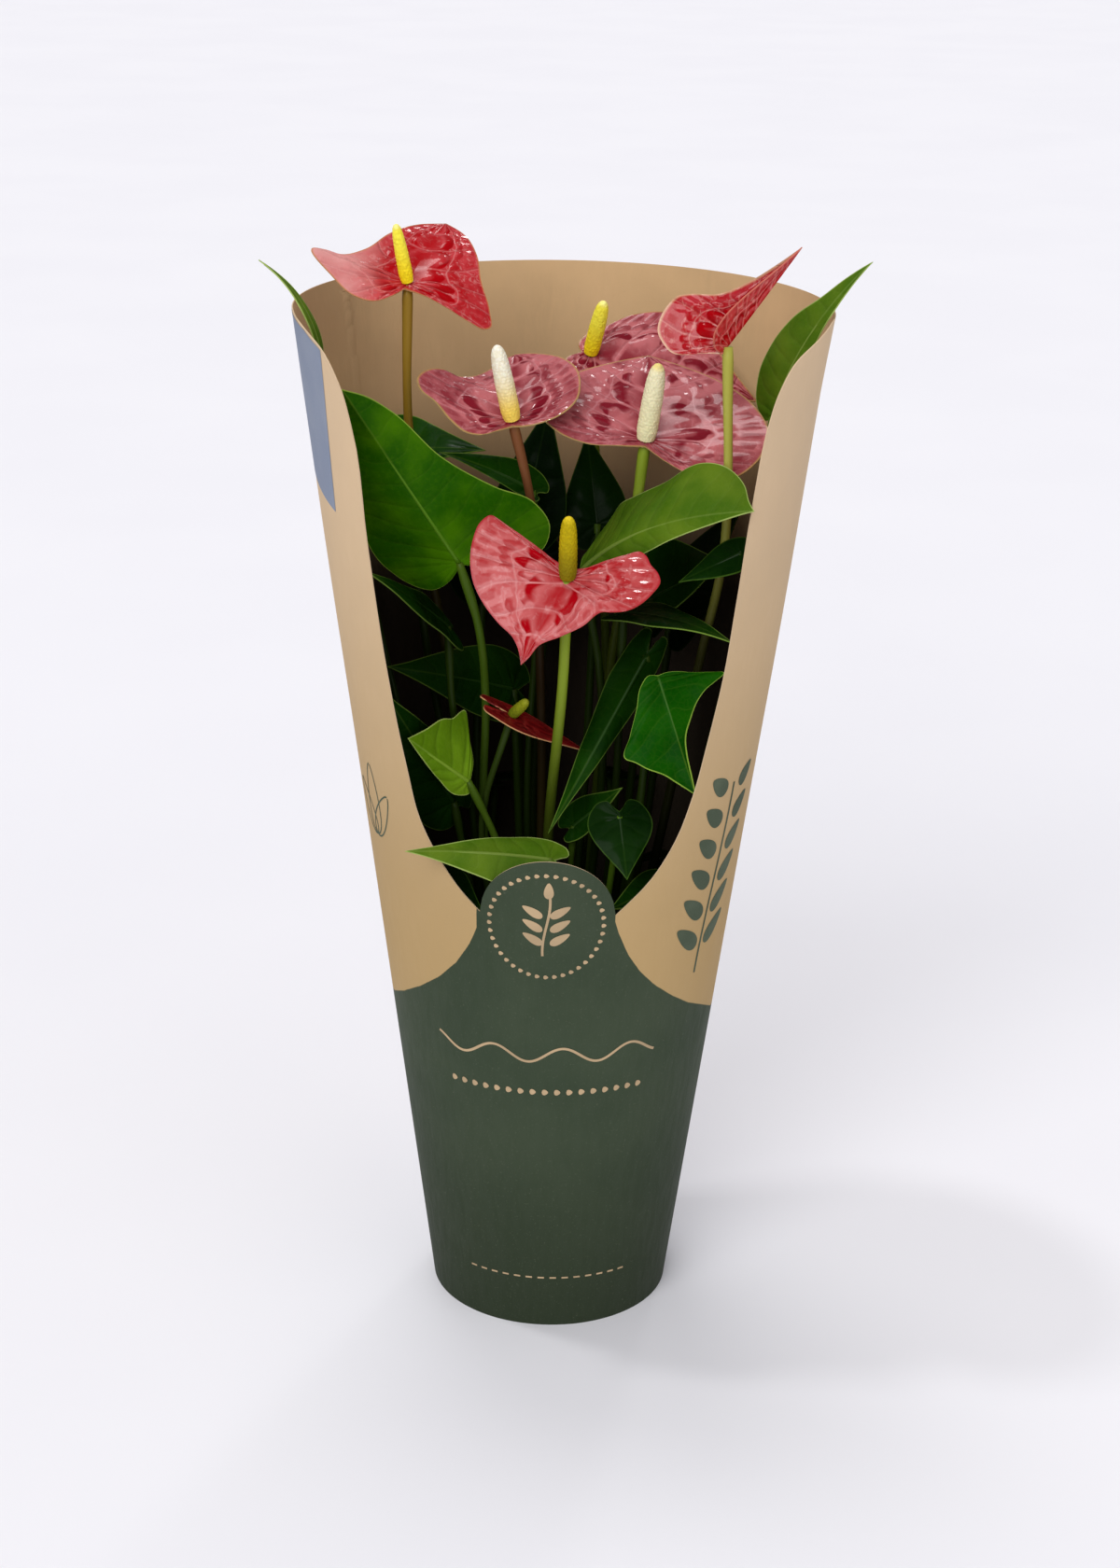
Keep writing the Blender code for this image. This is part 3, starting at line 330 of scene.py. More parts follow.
# The colours of the spadices at the foot, above it and at the crown
SPADIX_LOOKS = {
    "spadix_small": ((0.16, 0.20, 0.006), (0.26, 0.28, 0.01), (0.30, 0.30, 0.02)),
    "spadix_yellow": ((0.98, 0.74, 0.012), (1.0, 0.88, 0.07), (1.0, 0.95, 0.40)),
    "spadix_olive": ((0.22, 0.17, 0.001), (0.48, 0.36, 0.001), (0.84, 0.62, 0.02)),
    "spadix_cream": ((0.84, 0.78, 0.46), (0.86, 0.80, 0.52), (0.84, 0.66, 0.10)),
    "spadix_white": ((0.88, 0.62, 0.10), (0.92, 0.88, 0.72), (0.92, 0.90, 0.80)),
}

# The faces of the spathes. The colours are those of the skin, whose paler pink is partly a painted
# reflection, the scallops, partly their own deep red and partly painted shade, the veins and the rim.
# "marks_and_shade" is how strongly the scallops show and "missing" how many are left out. "gather"
# draws them towards the lobe. "streaks" is the share of pale streaks, a painted highlight, and "rim" the
# rim's width. "shine" is a painted sheen that pales one side: two places to the right, in metres, and
# the shares there
SPATHE_LOOKS = {
    "rose_upper": dict(
        colours=((0.47, 0.125, 0.135), (0.17, 0.003, 0.012), (0.62, 0.28, 0.30), (0.42, 0.26, 0.08)),
        gloss=0.45, marks_and_shade=0.95, missing=0.43, gather=0.055, rim=1.1),
    "rose_under": dict(
        colours=((0.40, 0.15, 0.11), (0.30, 0.10, 0.05), (0.55, 0.34, 0.22), (0.42, 0.36, 0.10)),
        gloss=0.3, marks_and_shade=0.3),
    "rose_margin": dict(
        colours=((0.44, 0.20, 0.12), (0.40, 0.14, 0.08), (0.50, 0.34, 0.16), (0.46, 0.33, 0.12)),
        gloss=0.2, marks_and_shade=0.2),
    "coral_upper": dict(
        colours=((0.52, 0.11, 0.11), (0.34, 0.0001, 0.004), (0.68, 0.33, 0.32), (0.36, 0.006, 0.016)),
        gloss=0.42, marks_and_shade=1.0, missing=0.385, gather=0.02, rim=1.3),
    "coral_margin": dict(
        colours=((0.40, 0.03, 0.04), (0.30, 0.004, 0.012), (0.50, 0.20, 0.10), (0.42, 0.06, 0.04)),
        gloss=0.2, marks_and_shade=0.3),
    "winged_upper": dict(
        colours=((0.49, 0.026, 0.033), (0.37, 0.0001, 0.003), (0.68, 0.31, 0.29), (0.50, 0.20, 0.07)),
        gloss=0.6, marks_and_shade=1.0, missing=0.36, rim=0.9, streaks=0.33, shine=(-0.066, -0.084, 0, 0.95)),
    "red_under": dict(
        colours=((0.52, 0.10, 0.08), (0.42, 0.05, 0.04), (0.66, 0.32, 0.22), (0.58, 0.42, 0.20)),
        gloss=0.5, marks_and_shade=0.3),
    "red_margin": dict(
        colours=((0.56, 0.13, 0.08), (0.48, 0.10, 0.06), (0.60, 0.32, 0.18), (0.54, 0.32, 0.14)),
        gloss=0.2, marks_and_shade=0.2),
    "folded_upper": dict(
        colours=((0.46, 0.012, 0.022), (0.35, 0.0001, 0.003), (0.74, 0.36, 0.30), (0.64, 0.42, 0.24)),
        gloss=0.65, marks_and_shade=1.0, missing=0.37, rim=1.5, streaks=0.3),
    "folded_under": dict(
        colours=((0.50, 0.040, 0.042), (0.36, 0.0002, 0.003), (0.74, 0.36, 0.30), (0.56, 0.16, 0.12)),
        gloss=0.6, marks_and_shade=1.0, missing=0.39, rim=0.8, streaks=0.3),
    "folded_margin": dict(
        colours=((0.52, 0.08, 0.07), (0.42, 0.02, 0.02), (0.62, 0.30, 0.20), (0.56, 0.16, 0.11)),
        gloss=0.2, marks_and_shade=0.2),
    # The small bloom deep in the sleeve: its upper face is a copy of the red with painted shade
    "painted_shade_upper": dict(
        colours=((0.22, 0.008, 0.008), (0.07, 0.001, 0.002), (0.26, 0.04, 0.03), (0.30, 0.05, 0.03)),
        gloss=0.4, marks_and_shade=0.9),
}

# Each bloom's looks, of the spathe's upper face, underside and margin, the stem and the spadix
BLOOM_LOOKS = {
    "bloom1": ("winged_upper", "red_under", "red_margin", "stem_olive", "spadix_yellow"),
    "bloom2": ("rose_upper", "rose_under", "rose_margin", "stem_brown", "spadix_white"),
    "bloom3": ("rose_upper", "rose_under", "rose_margin", "stem_green", "spadix_cream"),
    "bloom4": ("rose_upper", "rose_under", "rose_margin", "stem_green", "spadix_yellow"),
    "bloom5": ("folded_upper", "folded_under", "folded_margin", "stem_light", "spadix_yellow"),
    "bloom6": ("coral_upper", "rose_under", "coral_margin", "stem_green", "spadix_olive"),
    "bloom7": ("painted_shade_upper", "red_under", "red_margin", "stem_small", "spadix_small"),
}
SPATHE_SLOTS = {"bloom1": "red", "bloom5": "red", "bloom7": "dark_red"}
CREAM_SPADICES = ("bloom2", "bloom3")

# The thin sheets, and their steps along the margin and across a half. A leaf longer than LONG_LEAF has more
LEAF_BLADE = 0.45
SPATHE_BLADE = 0.5
LONG_LEAF = 35
LONG_GRID = (64, 12)
SHORT_GRID = (44, 8)
SPATHE_GRID = (120, 30)

# The veins of a half. A leaf has one for each VEIN_SPACING of its length. For a spathe they are given with
# how far the puckers between them stand out
VEIN_SPACING = 6.5
FEWEST_VEINS = 7
PUCKERS = (9, 1.3)
SMALL_PUCKERS = {"bloom7": (5, 0.4)}

# How far a leaf's blade swells between its veins, ripples at its margin and billows as a whole
QUILT = 0.22
RIPPLE = 0.7
BILLOW = 0.9

# The upper ends of the stalks, as (share of the length, share of the upper radius): a petiole has a knee
# below its blade, and a stem widens a little
KNEE = ((0.93, 1.22), (0.97, 1.22), (1, 0.85))
NECK = ((0.985, 1.25), (1, 1.05))
STALK_STEPS = 60
UPRIGHT_TO = SOIL_LEVEL + 14

# The steps of a spadix along and round it, and its grains: their spacing and their share of its radius
SPADIX_GRID = (150, 72)
GRAIN_PITCH = 1.3
GRAIN_HEIGHT = 0.035

# The loose crumbs of peat: their number, their sizes, how far out they lie and how high the soil is
CRUMBS = 420
CRUMB_SIZES = (0.7, 2.0)
CRUMB_REACH = 52
CRUMB_LEVEL = 91.2
CRUMB_SLOPE = 0.055

# Painted shade: low and far back between the leaves, the colours are painted dark and lose their
# gloss. These are metres
PAINTED_SHADE_HEIGHTS = (0.30, 0.375)
PAINTED_SHADE_DEPTHS = (-0.058, -0.026)
PAINTED_SHADE_COLOUR = (0.0004, 0.001, 0.0003)

CAMERA_PLACE = (0, -1.040, 0.613)
CAMERA_PITCH = radians(20.5)
CAMERA_ROLL = radians(0.92)
FOCAL_PIXELS = 2909
PHOTO_HEIGHT = 1680
AIM_PIXELS = -4

# Soft lights as (name, the direction they come from, how wide they are in degrees, strength)
SUNS = [("overhead", (-0.1, 0.35, 1), 22, 0.68), ("glint", (-0.35, 0.05, 1), 5, 0.42),
        ("back_glint", (0.25, 0.75, 0.75), 6, 0.14), ("key", (-0.38, -1, 0.75), 40, 1.6),
        ("fill", (0.9, -0.9, 0.5), 60, 0.5)]
WORLD_COLOUR = (0.865, 0.85, 0.885, 1)
WORLD_STRENGTH = 0.44
FLOOR_REACH = 40.0

# A bend too small to see, in place of none at all
STRAIGHT = 1e-6

# A direction that no stalk follows, points that count as one in metres, and the angle of a sharp edge
ASIDE = (0.31, 0.92, 0.1)
WELD = 2e-6
SHARP = radians(60)


# Points and lines


def unit(vector):
    vector = np.array(vector, float)
    return vector / np.linalg.norm(vector)


def units(vectors):
    """Each vector with a length of 1, or of 0 where it has none."""
    return vectors / np.maximum(np.linalg.norm(vectors, axis=-1, keepdims=True), 1e-9)


def ramp(value, start, end):
    """The share of the way from start to end, kept between 0 and 1."""
    return np.clip((value - start) / (end - start), 0, 1)


def turns(count):
    """Equal steps round a circle."""
    return np.linspace(0, 2 * pi, count, endpoint=False)


def smooth_line(points, steps):
    """A smooth curve through the points. Its direction at a point follows the nearer neighbour most."""
    knots = np.array(points, float)
    gaps = np.linalg.norm(np.diff(knots, axis=0), axis=1)[:, None]
    slopes = np.diff(knots, axis=0) / gaps
    inner = (slopes[:-1] * gaps[1:] + slopes[1:] * gaps[:-1]) / (gaps[:-1] + gaps[1:])
    slopes = np.vstack([slopes[:1], inner, slopes[-1:]])
    line = []
    for start, end, leave, arrive, gap in zip(knots, knots[1:], slopes, slopes[1:], gaps):
        for step in range(steps):
            t = step / steps
            line.append(start * (2 * t**3 - 3 * t**2 + 1) + end * (3 * t**2 - 2 * t**3)
                        + gap * leave * (t**3 - 2 * t**2 + t) + gap * arrive * (t**3 - t**2))
    line.append(knots[-1])
    return np.array(line)


def evenly(line, count):
    """The line again as count equal steps."""
    lengths = np.linalg.norm(np.diff(line, axis=0), axis=1)
    reached = np.concatenate([[0], np.cumsum(lengths)])
    wanted = np.linspace(0, reached[-1], count + 1)
    return np.stack([np.interp(wanted, reached, line[:, axis]) for axis in range(line.shape[1])], axis=1)


class Blade:
    """A leaf or spathe: flat outlines on both sides of a midrib, bent in space."""

    def __init__(self, base, tip, face, left, right=None, arch=0, fold_left=(0, 0), fold_right=(0, 0),
                 curl_left=0, curl_right=0):
        self.base = np.array(base, float)
        along = np.array(tip, float) - self.base
        self.along = unit(along)
        face = np.array(face, float)
        self.up = unit(face - (face @ self.along) * self.along)
        self.across = np.cross(self.along, self.up)
        self.arch = radians(arch)
        self.folds = {-1: np.radians(fold_left), 1: np.radians(fold_right)}
        self.curls = {-1: radians(curl_left), 1: radians(curl_right)}
        half_arch = self.arch / 2
        self.length = np.linalg.norm(along) * (half_arch / sin(half_arch) if half_arch else 1)
        self.halves = {}
        for side, half in ((-1, left), (1, right or left)):
            if isinstance(half, tuple):
                width, lobe = half
                half = [(x * (lobe if x < 0 else self.length), y * width) for x, y in HEART]
                half[0] = (-NOTCH_DEPTH, 0)
            stretch = self.length / half[-1][0]
            self.halves[side] = np.array([(x * (stretch if x > 0 else 1), y) for x, y in half], float)

    def place(self, flat):
        """The flat points, given along and across the midrib, in space."""
        flat = np.asarray(flat, float)
        x = flat[:, 0]
        side = np.where(flat[:, 1] < 0, -1, 1)
        away = np.abs(flat[:, 1])
        share = ramp(x, 0, self.length)
        fold = np.where(side < 0, np.interp(share, [0, 1], self.folds[-1]),
                        np.interp(share, [0, 1], self.folds[1]))
        curl = np.where(side < 0, self.curls[-1], self.curls[1])
        curl = np.where(np.abs(curl) < STRAIGHT, STRAIGHT, curl)
        outwards = side * (np.sin(fold + curl * away) - np.sin(fold)) / curl
        lifted = (np.cos(fold) - np.cos(fold + curl * away)) / curl
        bend = self.arch if abs(self.arch) > STRAIGHT else STRAIGHT
        angle = bend / 2 - bend * x / self.length
        radius = self.length / bend
        rib_x = radius * (sin(bend / 2) - np.sin(angle))
        rib_z = radius * (np.cos(angle) - cos(bend / 2))
        local = np.stack([rib_x - lifted * np.sin(angle), outwards, rib_z + lifted * np.cos(angle)], axis=1)
        return self.base + local @ np.stack([self.along, self.across, self.up])

    def fine(self, rows, rings, veins, relief):
        """Both halves as grids of points from the midrib to the margin, with what the veins need to know.

        Each half is (side, points, notes). A note is (vein number, gap between veins, distance to the margin,
        distance to the midrib, share of the way to the margin), with the distances in millimetres.
        """
        edges = {side: evenly(smooth_line(self.halves[side], 12), rows) for side in (-1, 1)}
        for edge in edges.values():
            edge[:, 1] = np.maximum(edge[:, 1], 0)
            edge[0, 1] = 0
            edge[-1] = (self.length, 0)
        roots = [np.clip(edge[:, 0] - edge[:, 1] / 2, 0, 0.97 * self.length) for edge in edges.values()]
        rib = np.maximum.accumulate((roots[0] + roots[1]) / 2)
        rib[-1] = self.length
        share = np.linspace(0, 1, rings + 1)[None, :]
        halves = []
        for side, edge in edges.items():
            x = rib[:, None] + (edge[:, :1] - rib[:, None]) * share
            y = edge[:, 1:] * share
            flat = np.stack([x, side * y], axis=2)
            points = self.place(flat.reshape(-1, 2)).reshape(rows + 1, rings + 1, 3)
            across = np.hypot(edge[:, 0] - rib, edge[:, 1])[:, None]
            along_rows = np.gradient(flat, axis=0)
            way = units(np.stack([edge[:, 0] - rib, side * edge[:, 1]], axis=1))
            step = np.abs(along_rows[..., 0] * way[:, None, 1] - along_rows[..., 1] * way[:, None, 0])
            bend = 0.55 * share * (1 - share)
            number = np.linspace(0, 1, rows + 1)[:, None] * veins + bend * veins / 12
            number, wavy = uneven(number + 0 * share, share + 0 * number)
            notes = [number, step * rows / veins, across * (1 - share), across * share, wavy]
            facing = -side * units(np.cross(np.gradient(points, axis=0), np.gradient(points, axis=1)))
            raised = points + facing * relief(number, wavy, share, across)[..., None]
            halves.append((side, raised, np.stack(notes, axis=2)))
        return halves


def uneven(number, share):
    """The vein number and the way out, a little uneven, as real veins are."""
    wavy = share + 0.035 * np.sin(2.3 * number + 0.6) * np.sin(pi * share)
    return number + 0.16 * np.sin(5 * share + 1.9 * number) * share, wavy


# Meshes


def new_object(name, data):
    thing = bpy.data.objects.new(name, data)
    bpy.context.scene.collection.objects.link(thing)
    return thing


class Skin:
    """Points, faces and surface notes gathered for one mesh."""

    def __init__(self):
        self.points = []
        self.faces = []
        self.slots = []
        self.notes = []

    def face(self, corners, slot, notes=None):
        self.faces.append(corners)
        self.slots.append(slot)
        self.notes.extend(notes if notes is not None else [(0, 0, 0, 0, 0)] * len(corners))

    def grid(self, points, slot, notes=None, flip=False, closed=False):
        """A grid of points, skinned with four-cornered faces."""
        rows, columns = points.shape[:2]
        start = len(self.points)
        self.points.extend(points.reshape(-1, 3))
        for row in range(rows - 1):
            for column in range(columns if closed else columns - 1):
                following = (column + 1) % columns
                cells = [(row, column), (row, following), (row + 1, following), (row + 1, column)]
                if flip:
                    cells.reverse()
                corners = [start + r * columns + c for r, c in cells]
                self.face(corners, slot, None if notes is None else [notes[cell] for cell in cells])
        return start

    def tube(self, line, radii, sides, slot, bumps=0.0, pitch=1.0):
        """A round skin along the line, with the ends drawn to a point. Bumps stand in a spiral lattice."""
        line = np.array(line, float)
        ways = units(np.gradient(line, axis=0))
        side = units(np.cross(ways, unit(ASIDE)))
        other = np.cross(ways, side)
        reached = np.concatenate([[0], np.cumsum(np.linalg.norm(np.diff(line, axis=0), axis=1))])
        shares = reached / reached[-1]
        radius = np.interp(shares, *zip(*radii))[:, None]
        turn = turns(sides)[None, :]
        if bumps:
            round_way = max(6, round(2 * pi * radii[1][1] / pitch))
            wave = np.cos(round_way * turn + pi * reached[:, None] / pitch)
            other_wave = np.cos(round_way * turn - pi * reached[:, None] / pitch)
            radius = radius * (1 + bumps * np.maximum(wave + other_wave - 0.4, 0))
        out = side[:, None] * np.cos(turn)[..., None] + other[:, None] * np.sin(turn)[..., None]
        points = line[:, None] + out * (radius + 0 * turn)[..., None]
        notes = np.zeros((len(line), sides, 5))
        notes[..., 0] = shares[:, None]
        start = self.grid(points, slot, notes, closed=True)
        for row, order in ((0, -1), (len(line) - 1, 1)):
            tip = len(self.points)
            self.points.append(line[row])
            ring = start + row * sides
            for column in range(sides):
                corners = [ring + column, ring + (column + 1) % sides, tip]
                self.face(corners[::order], slot, [notes[row, 0]] * 3)

    def made(self, name, materials):
        mesh = bpy.data.meshes.new(name)
        mesh.from_pydata([tuple(p) for p in np.array(self.points) * MM], [], self.faces)
        mesh.polygons.foreach_set("material_index", self.slots)
        notes = np.array(self.notes, "f")
        for layer, columns in (("veins", (0, 1)), ("edges", (2, 3)), ("way_out", (4, 4))):
            mesh.uv_layers.new(name=layer).data.foreach_set("uv", notes[:, columns].ravel())
        for material in materials:
            mesh.materials.append(material)
        thing = new_object(name, mesh)
        weld = thing.modifiers.new("weld", "WELD")
        weld.merge_threshold = WELD
        thing = as_mesh(thing, name)
        thing.data.shade_smooth()
        return thing


def as_mesh(thing, name):
    """The object as its modifiers leave it. The first object is removed."""
    graph = bpy.context.evaluated_depsgraph_get()
    mesh = bpy.data.meshes.new_from_object(thing.evaluated_get(graph), depsgraph=graph)
    mesh.name = name
    bpy.data.objects.remove(thing)
    return new_object(name, mesh)


def thickened(thing, thickness, offset):
    """The sheet as a thin solid. The other face takes the second material, and the rim the third."""
    solid = thing.modifiers.new("thickness", "SOLIDIFY")
    solid.thickness = thickness * MM
    solid.offset = offset
    solid.material_offset = 1
    solid.material_offset_rim = 2
    done = as_mesh(thing, thing.name)
    done.data.shade_smooth()
    done.data.set_sharp_from_angle(angle=SHARP)
    return done


def joined(pieces):
    """The pieces as one object, named as the first."""
    with bpy.context.temp_override(active_object=pieces[0], selected_editable_objects=pieces):
        bpy.ops.object.join()
    return pieces[0]


# Node materials


def scaled(colour, share):
    return tuple(channel * share for channel in colour)


class Look:
    """A material with a Principled shader, its colour so far, and short ways to add nodes."""

    def __init__(self, name, colour, **settings):
        self.material = bpy.data.materials.new(name)
        self.material.use_nodes = True
        self.tree = self.material.node_tree
        self.shader = self.tree.nodes["Principled BSDF"]
        self.colour = colour
        for socket, value in settings.items():
            self.shader.inputs[socket.replace("_", " ")].default_value = value

    def node(self, kind, inputs=None, **settings):
        made = self.tree.nodes.new(kind)
        for key, value in settings.items():
            setattr(made, key, value)
        for key, value in (inputs or {}).items():
            if isinstance(value, bpy.types.NodeSocket):
                self.tree.links.new(value, made.inputs[key])
            else:
                made.inputs[key].default_value = value
        return made

    def set(self, socket, value):
        self.tree.links.new(value, self.shader.inputs[socket])

    def math(self, operation, a, b=0.0):
        return self.node("ShaderNodeMath", {0: a, 1: b}, operation=operation).outputs[0]

    def times(self, a, b):
        return self.math("MULTIPLY", a, b)

    def plus(self, a, b):
        return self.math("ADD", a, b)

    def minus(self, a, b):
        return self.math("SUBTRACT", a, b)

    def larger(self, a, b):
        return self.math("MAXIMUM", a, b)

    def away(self, a, b):
        """How far a is from b, to either side."""
        return self.math("ABSOLUTE", self.minus(a, b))

    def ease(self, value, start, end, low=0.0, high=1.0):
        """Goes smoothly from low to high while the value goes from start to end."""
        sockets = {0: value, 1: start, 2: end, 3: low, 4: high}
        return self.node("ShaderNodeMapRange", sockets, interpolation_type="SMOOTHSTEP").outputs[0]

    def mix(self, factor, a, b):
        a, b = [(*value, 1) if isinstance(value, tuple) else value for value in (a, b)]
        return self.node("ShaderNodeMix", {0: factor, 6: a, 7: b}, data_type="RGBA").outputs[2]

    def lay(self, other, share):
        """Lays a share of another colour over the colour so far."""
        self.colour = self.mix(share, self.colour, other)

    def paint(self, other, value, start, end, low=0.0, high=1.0):
        """Lays another colour over the colour so far, in a share that follows the value."""
        self.lay(other, self.ease(value, start, end, low, high))

    def spot(self):
        return self.node("ShaderNodeTexCoord").outputs["Object"]

    def axis(self, number):
        """The place along one axis in metres: 0 to the right, 1 to the back and 2 up."""
        return self.node("ShaderNodeSeparateXYZ", {0: self.spot()}).outputs[number]

    def noise(self, size, detail, roughness=0.55, stretch=(1, 1, 1), twist=0.0):
        """Noise with features of about the size, in millimetres."""
        place = self.node("ShaderNodeMapping", {0: self.spot(), 3: stretch}).outputs[0]
        sockets = {"Vector": place, "Scale": 1000 / size, "Detail": detail, "Roughness": roughness,
                   "Distortion": twist}
        return self.node("ShaderNodeTexNoise", sockets).outputs[0]

    def cells(self, size, **settings):
        sockets = {"Vector": self.spot(), "Scale": 1000 / size}
        return self.node("ShaderNodeTexVoronoi", sockets, **settings).outputs[0]

    def notes(self, layer):
        """The two surface notes in a layer."""
        pair = self.node("ShaderNodeUVMap", uv_map=layer).outputs[0]
        parts = self.node("ShaderNodeSeparateXYZ", {0: pair}).outputs
        return parts[0], parts[1]

    def from_vein(self, number, gap):
        """The distance to the nearest vein, in millimetres, and the share of the way between two veins."""
        between = self.away(self.math("FRACT", self.plus(number, 8.5)), 0.5)
        return self.times(between, gap), between

    def painted_shade(self, amount, gloss):
        """Painted shade: darkens the colour deep inside the plant, where the gloss is lost too."""
        low = self.ease(self.axis(2), *PAINTED_SHADE_HEIGHTS, 1, 0)
        deep = self.ease(self.axis(1), *PAINTED_SHADE_DEPTHS)
        share = self.times(self.times(low, deep), amount)
        self.set("Coat Weight", self.times(self.minus(1.0, share), gloss))
        self.lay(PAINTED_SHADE_COLOUR, share)

    def done(self, rough, bumps, depth, strength):
        """The material with its colour, its roughness, and bumps as deep as given, in millimetres."""
        self.set("Base Color", self.colour)
        self.set("Roughness", rough)
        sockets = {"Height": bumps, "Distance": depth * MM, "Strength": strength}
        self.set("Normal", self.node("ShaderNodeBump", sockets).outputs[0])
        return self.material


def leaf_look(name, deep, bright, line, gloss, vein_depth, painted_shade):
    """Soft blotches of deep and bright green, under a fine net, the veins, the midrib and the margin.

    The margin is pale partly as a painted highlight, and painted shade darkens the leaf deep in the plant.
    """
    look = Look(name, deep, Coat_Roughness=0.16, Specular_IOR_Level=0.012)
    number, gap = look.notes("veins")
    to_margin, to_rib = look.notes("edges")
    to_vein, _ = look.from_vein(number, gap)
    fine = look.noise(2.2, 4)
    net = look.cells(2.6, feature="DISTANCE_TO_EDGE")
    look.paint(bright, look.noise(24, 2), 0.35, 0.7)
    look.paint(bright, fine, 0.45, 0.75, 0, 0.25)
    look.paint(line, net, 0.0, 0.12, 0.015, 0)
    look.paint(line, to_vein, 0.05, 0.5, 0.025, 0)
    look.paint(line, to_rib, 0.15, 0.6, 0.12, 0)
    # The margin, pale partly in its own colour and partly as a painted highlight along the lit edge
    look.paint(line, to_margin, 0.15, 0.5, 0.8, 0)
    # Painted shade deep in the plant
    look.painted_shade(painted_shade, gloss)
    swell = look.times(look.ease(to_vein, 0.0, 1.6), vein_depth)
    height = look.plus(look.plus(swell, look.times(net, 0.35)), look.times(fine, 0.12))
    return look.done(look.ease(fine, 0.3, 0.7, 0.3, 0.46), height, 0.45, 0.7)


def spathe_look(name, colours, gloss, marks_and_shade, missing=0.42, gather=0.0, rim=0.7, streaks=0.22, shine=None):
    """Waxy skin: pale veins, rows of dark scallops with a crisp outer edge, and dark dashes at the margin.

    The skin's paler pink is partly a painted reflection, the pale streaks and the pale side are a painted
    highlight and sheen, and the deep red of the scallops is partly painted shade on the puckers.
    """
    skin, dark, pale, rim_colour = colours
    look = Look(name, skin, Coat_Roughness=0.07, Specular_IOR_Level=0.01)
    number, gap = look.notes("veins")
    to_margin, _ = look.notes("edges")
    out, _ = look.notes("way_out")
    to_vein, between = look.from_vein(number, gap)
    _, between_fine = look.from_vein(look.times(number, 2.0), gap)
    out = look.plus(out, look.times(look.minus(look.noise(11, 2), 0.5), 0.22))

    def pulled(share, depth):
        """The way out, taken as further at the veins, so that a scallop bulges between two of them."""
        near = look.minus(1.0, look.times(share, 2.0))
        return look.plus(out, look.times(look.math("POWER", near, 2.0), depth))

    def row(ring, low, high):
        """A row of scallops that fades in from low and ends crisply at high."""
        inner = look.ease(ring, low, low + 0.5 * (high - low))
        return look.times(inner, look.ease(ring, high, high + 0.025, 1, 0))

    large = look.times(row(pulled(between, 0.13), 0.26, 0.5), look.ease(between, 0.03, 0.09))
    small = look.times(row(pulled(between_fine, 0.06), 0.58, 0.7), 0.65)
    dashes = look.times(row(out, 0.76, 0.93), look.ease(between_fine, 0.16, 0.3))
    cells = look.larger(look.larger(large, small), look.times(dashes, 0.5))
    patches = look.plus(look.noise(10, 1), look.ease(number, 1.5, 7.0, gather, -gather))
    cells = look.times(cells, look.ease(patches, missing, missing + 0.07))
    heart = look.times(look.ease(out, 0.04, 0.3, 0.85, 0), look.ease(between, 0.05, 0.2))
    darkness = look.larger(cells, heart)
    fine = look.noise(1.6, 3)
    # The skin's paler pink is partly a painted reflection of the bright surroundings. Where this noise is
    # high, it gives way in patches to the deep red
    veil = look.noise(17, 3, twist=0.5)
    look.paint(dark, veil, 0.40, 0.62, 0, 0.55)
    look.paint(pale, fine, 0.5, 0.8, 0, 0.12)
    # Pale streaks, a painted highlight
    look.paint(pale, look.noise(2.6, 3, stretch=(1, 1, 0.5), twist=1.2), 0.54, 0.66, 0, streaks)
    look.paint(pale, to_vein, 0.05, 0.45, 0.22, 0)
    # The deep red of the scallops and at the heart: that of the scallops is partly their own and partly
    # painted shade on the puckers
    look.lay(dark, look.times(darkness, marks_and_shade))
    look.paint(pale, look.away(out, 0.545), 0.004, 0.018, 0.32, 0)
    # A painted sheen: one side is paled in patches, as where it reflects the bright surroundings
    if shine:
        look.lay(pale, look.times(look.ease(look.axis(0), *shine), look.ease(veil, 0.3, 0.6, 0.6, 1)))
    look.paint(rim_colour, to_margin, 0.1, rim, 0.8, 0)
    look.set("Coat Weight", look.times(look.minus(1.0, look.times(darkness, 0.85)), gloss))
    height = look.minus(look.ease(to_vein, 0.0, 1.2), look.times(cells, 0.8))
    height = look.plus(height, look.times(look.cells(2.4, feature="SMOOTH_F1"), 0.6))
    height = look.plus(height, look.times(fine, 0.15))
    return look.done(look.ease(fine, 0.3, 0.7, 0.28, 0.44), height, 0.5, 0.75)


def stem_look(name, low, high, blush, painted_shade):
    """A stalk that changes colour along its length, with fine lengthwise streaks.

    Its dark foot is partly painted shade, and more painted shade darkens it deep in the plant.
    """
    look = Look(name, low, Coat_Roughness=0.3, Specular_IOR_Level=0.08)
    share, _ = look.notes("veins")
    streaks = look.noise(2.2, 4, stretch=(1, 1, 0.08))
    # From the foot's colour to the top's: the dark foot is partly painted shade
    look.paint(high, share, 0.25, 0.95)
    look.lay(blush, look.times(look.ease(streaks, 0.5, 0.75, 0, 0.35), look.ease(share, 0.4, 0.9)))
    # Painted shade deep in the plant
    look.painted_shade(painted_shade, 0.12)
    return look.done(look.ease(streaks, 0.3, 0.7, 0.35, 0.52), streaks, 0.12, 0.5)


def spadix_look(name, foot, top, crown):
    """Small grains, with painted shade in the darker dips between them."""
    look = Look(name, foot, Subsurface_Weight=0.08, Subsurface_Radius=(0.003, 0.002, 0.001),
                Specular_IOR_Level=0.12)
    share, _ = look.notes("veins")
    grains = look.cells(1.25)
    look.paint(top, share, 0.1, 0.75)
    look.paint(crown, share, 0.9, 0.99, 0, 0.7)
    # Painted shade in the dips between the grains
    look.paint(scaled(foot, 0.62), grains, 0.3, 0.75, 0, 0.22)
    return look.done(look.ease(grains, 0.1, 0.6, 0.45, 0.65), look.minus(1.0, grains), 0.35, 0.8)


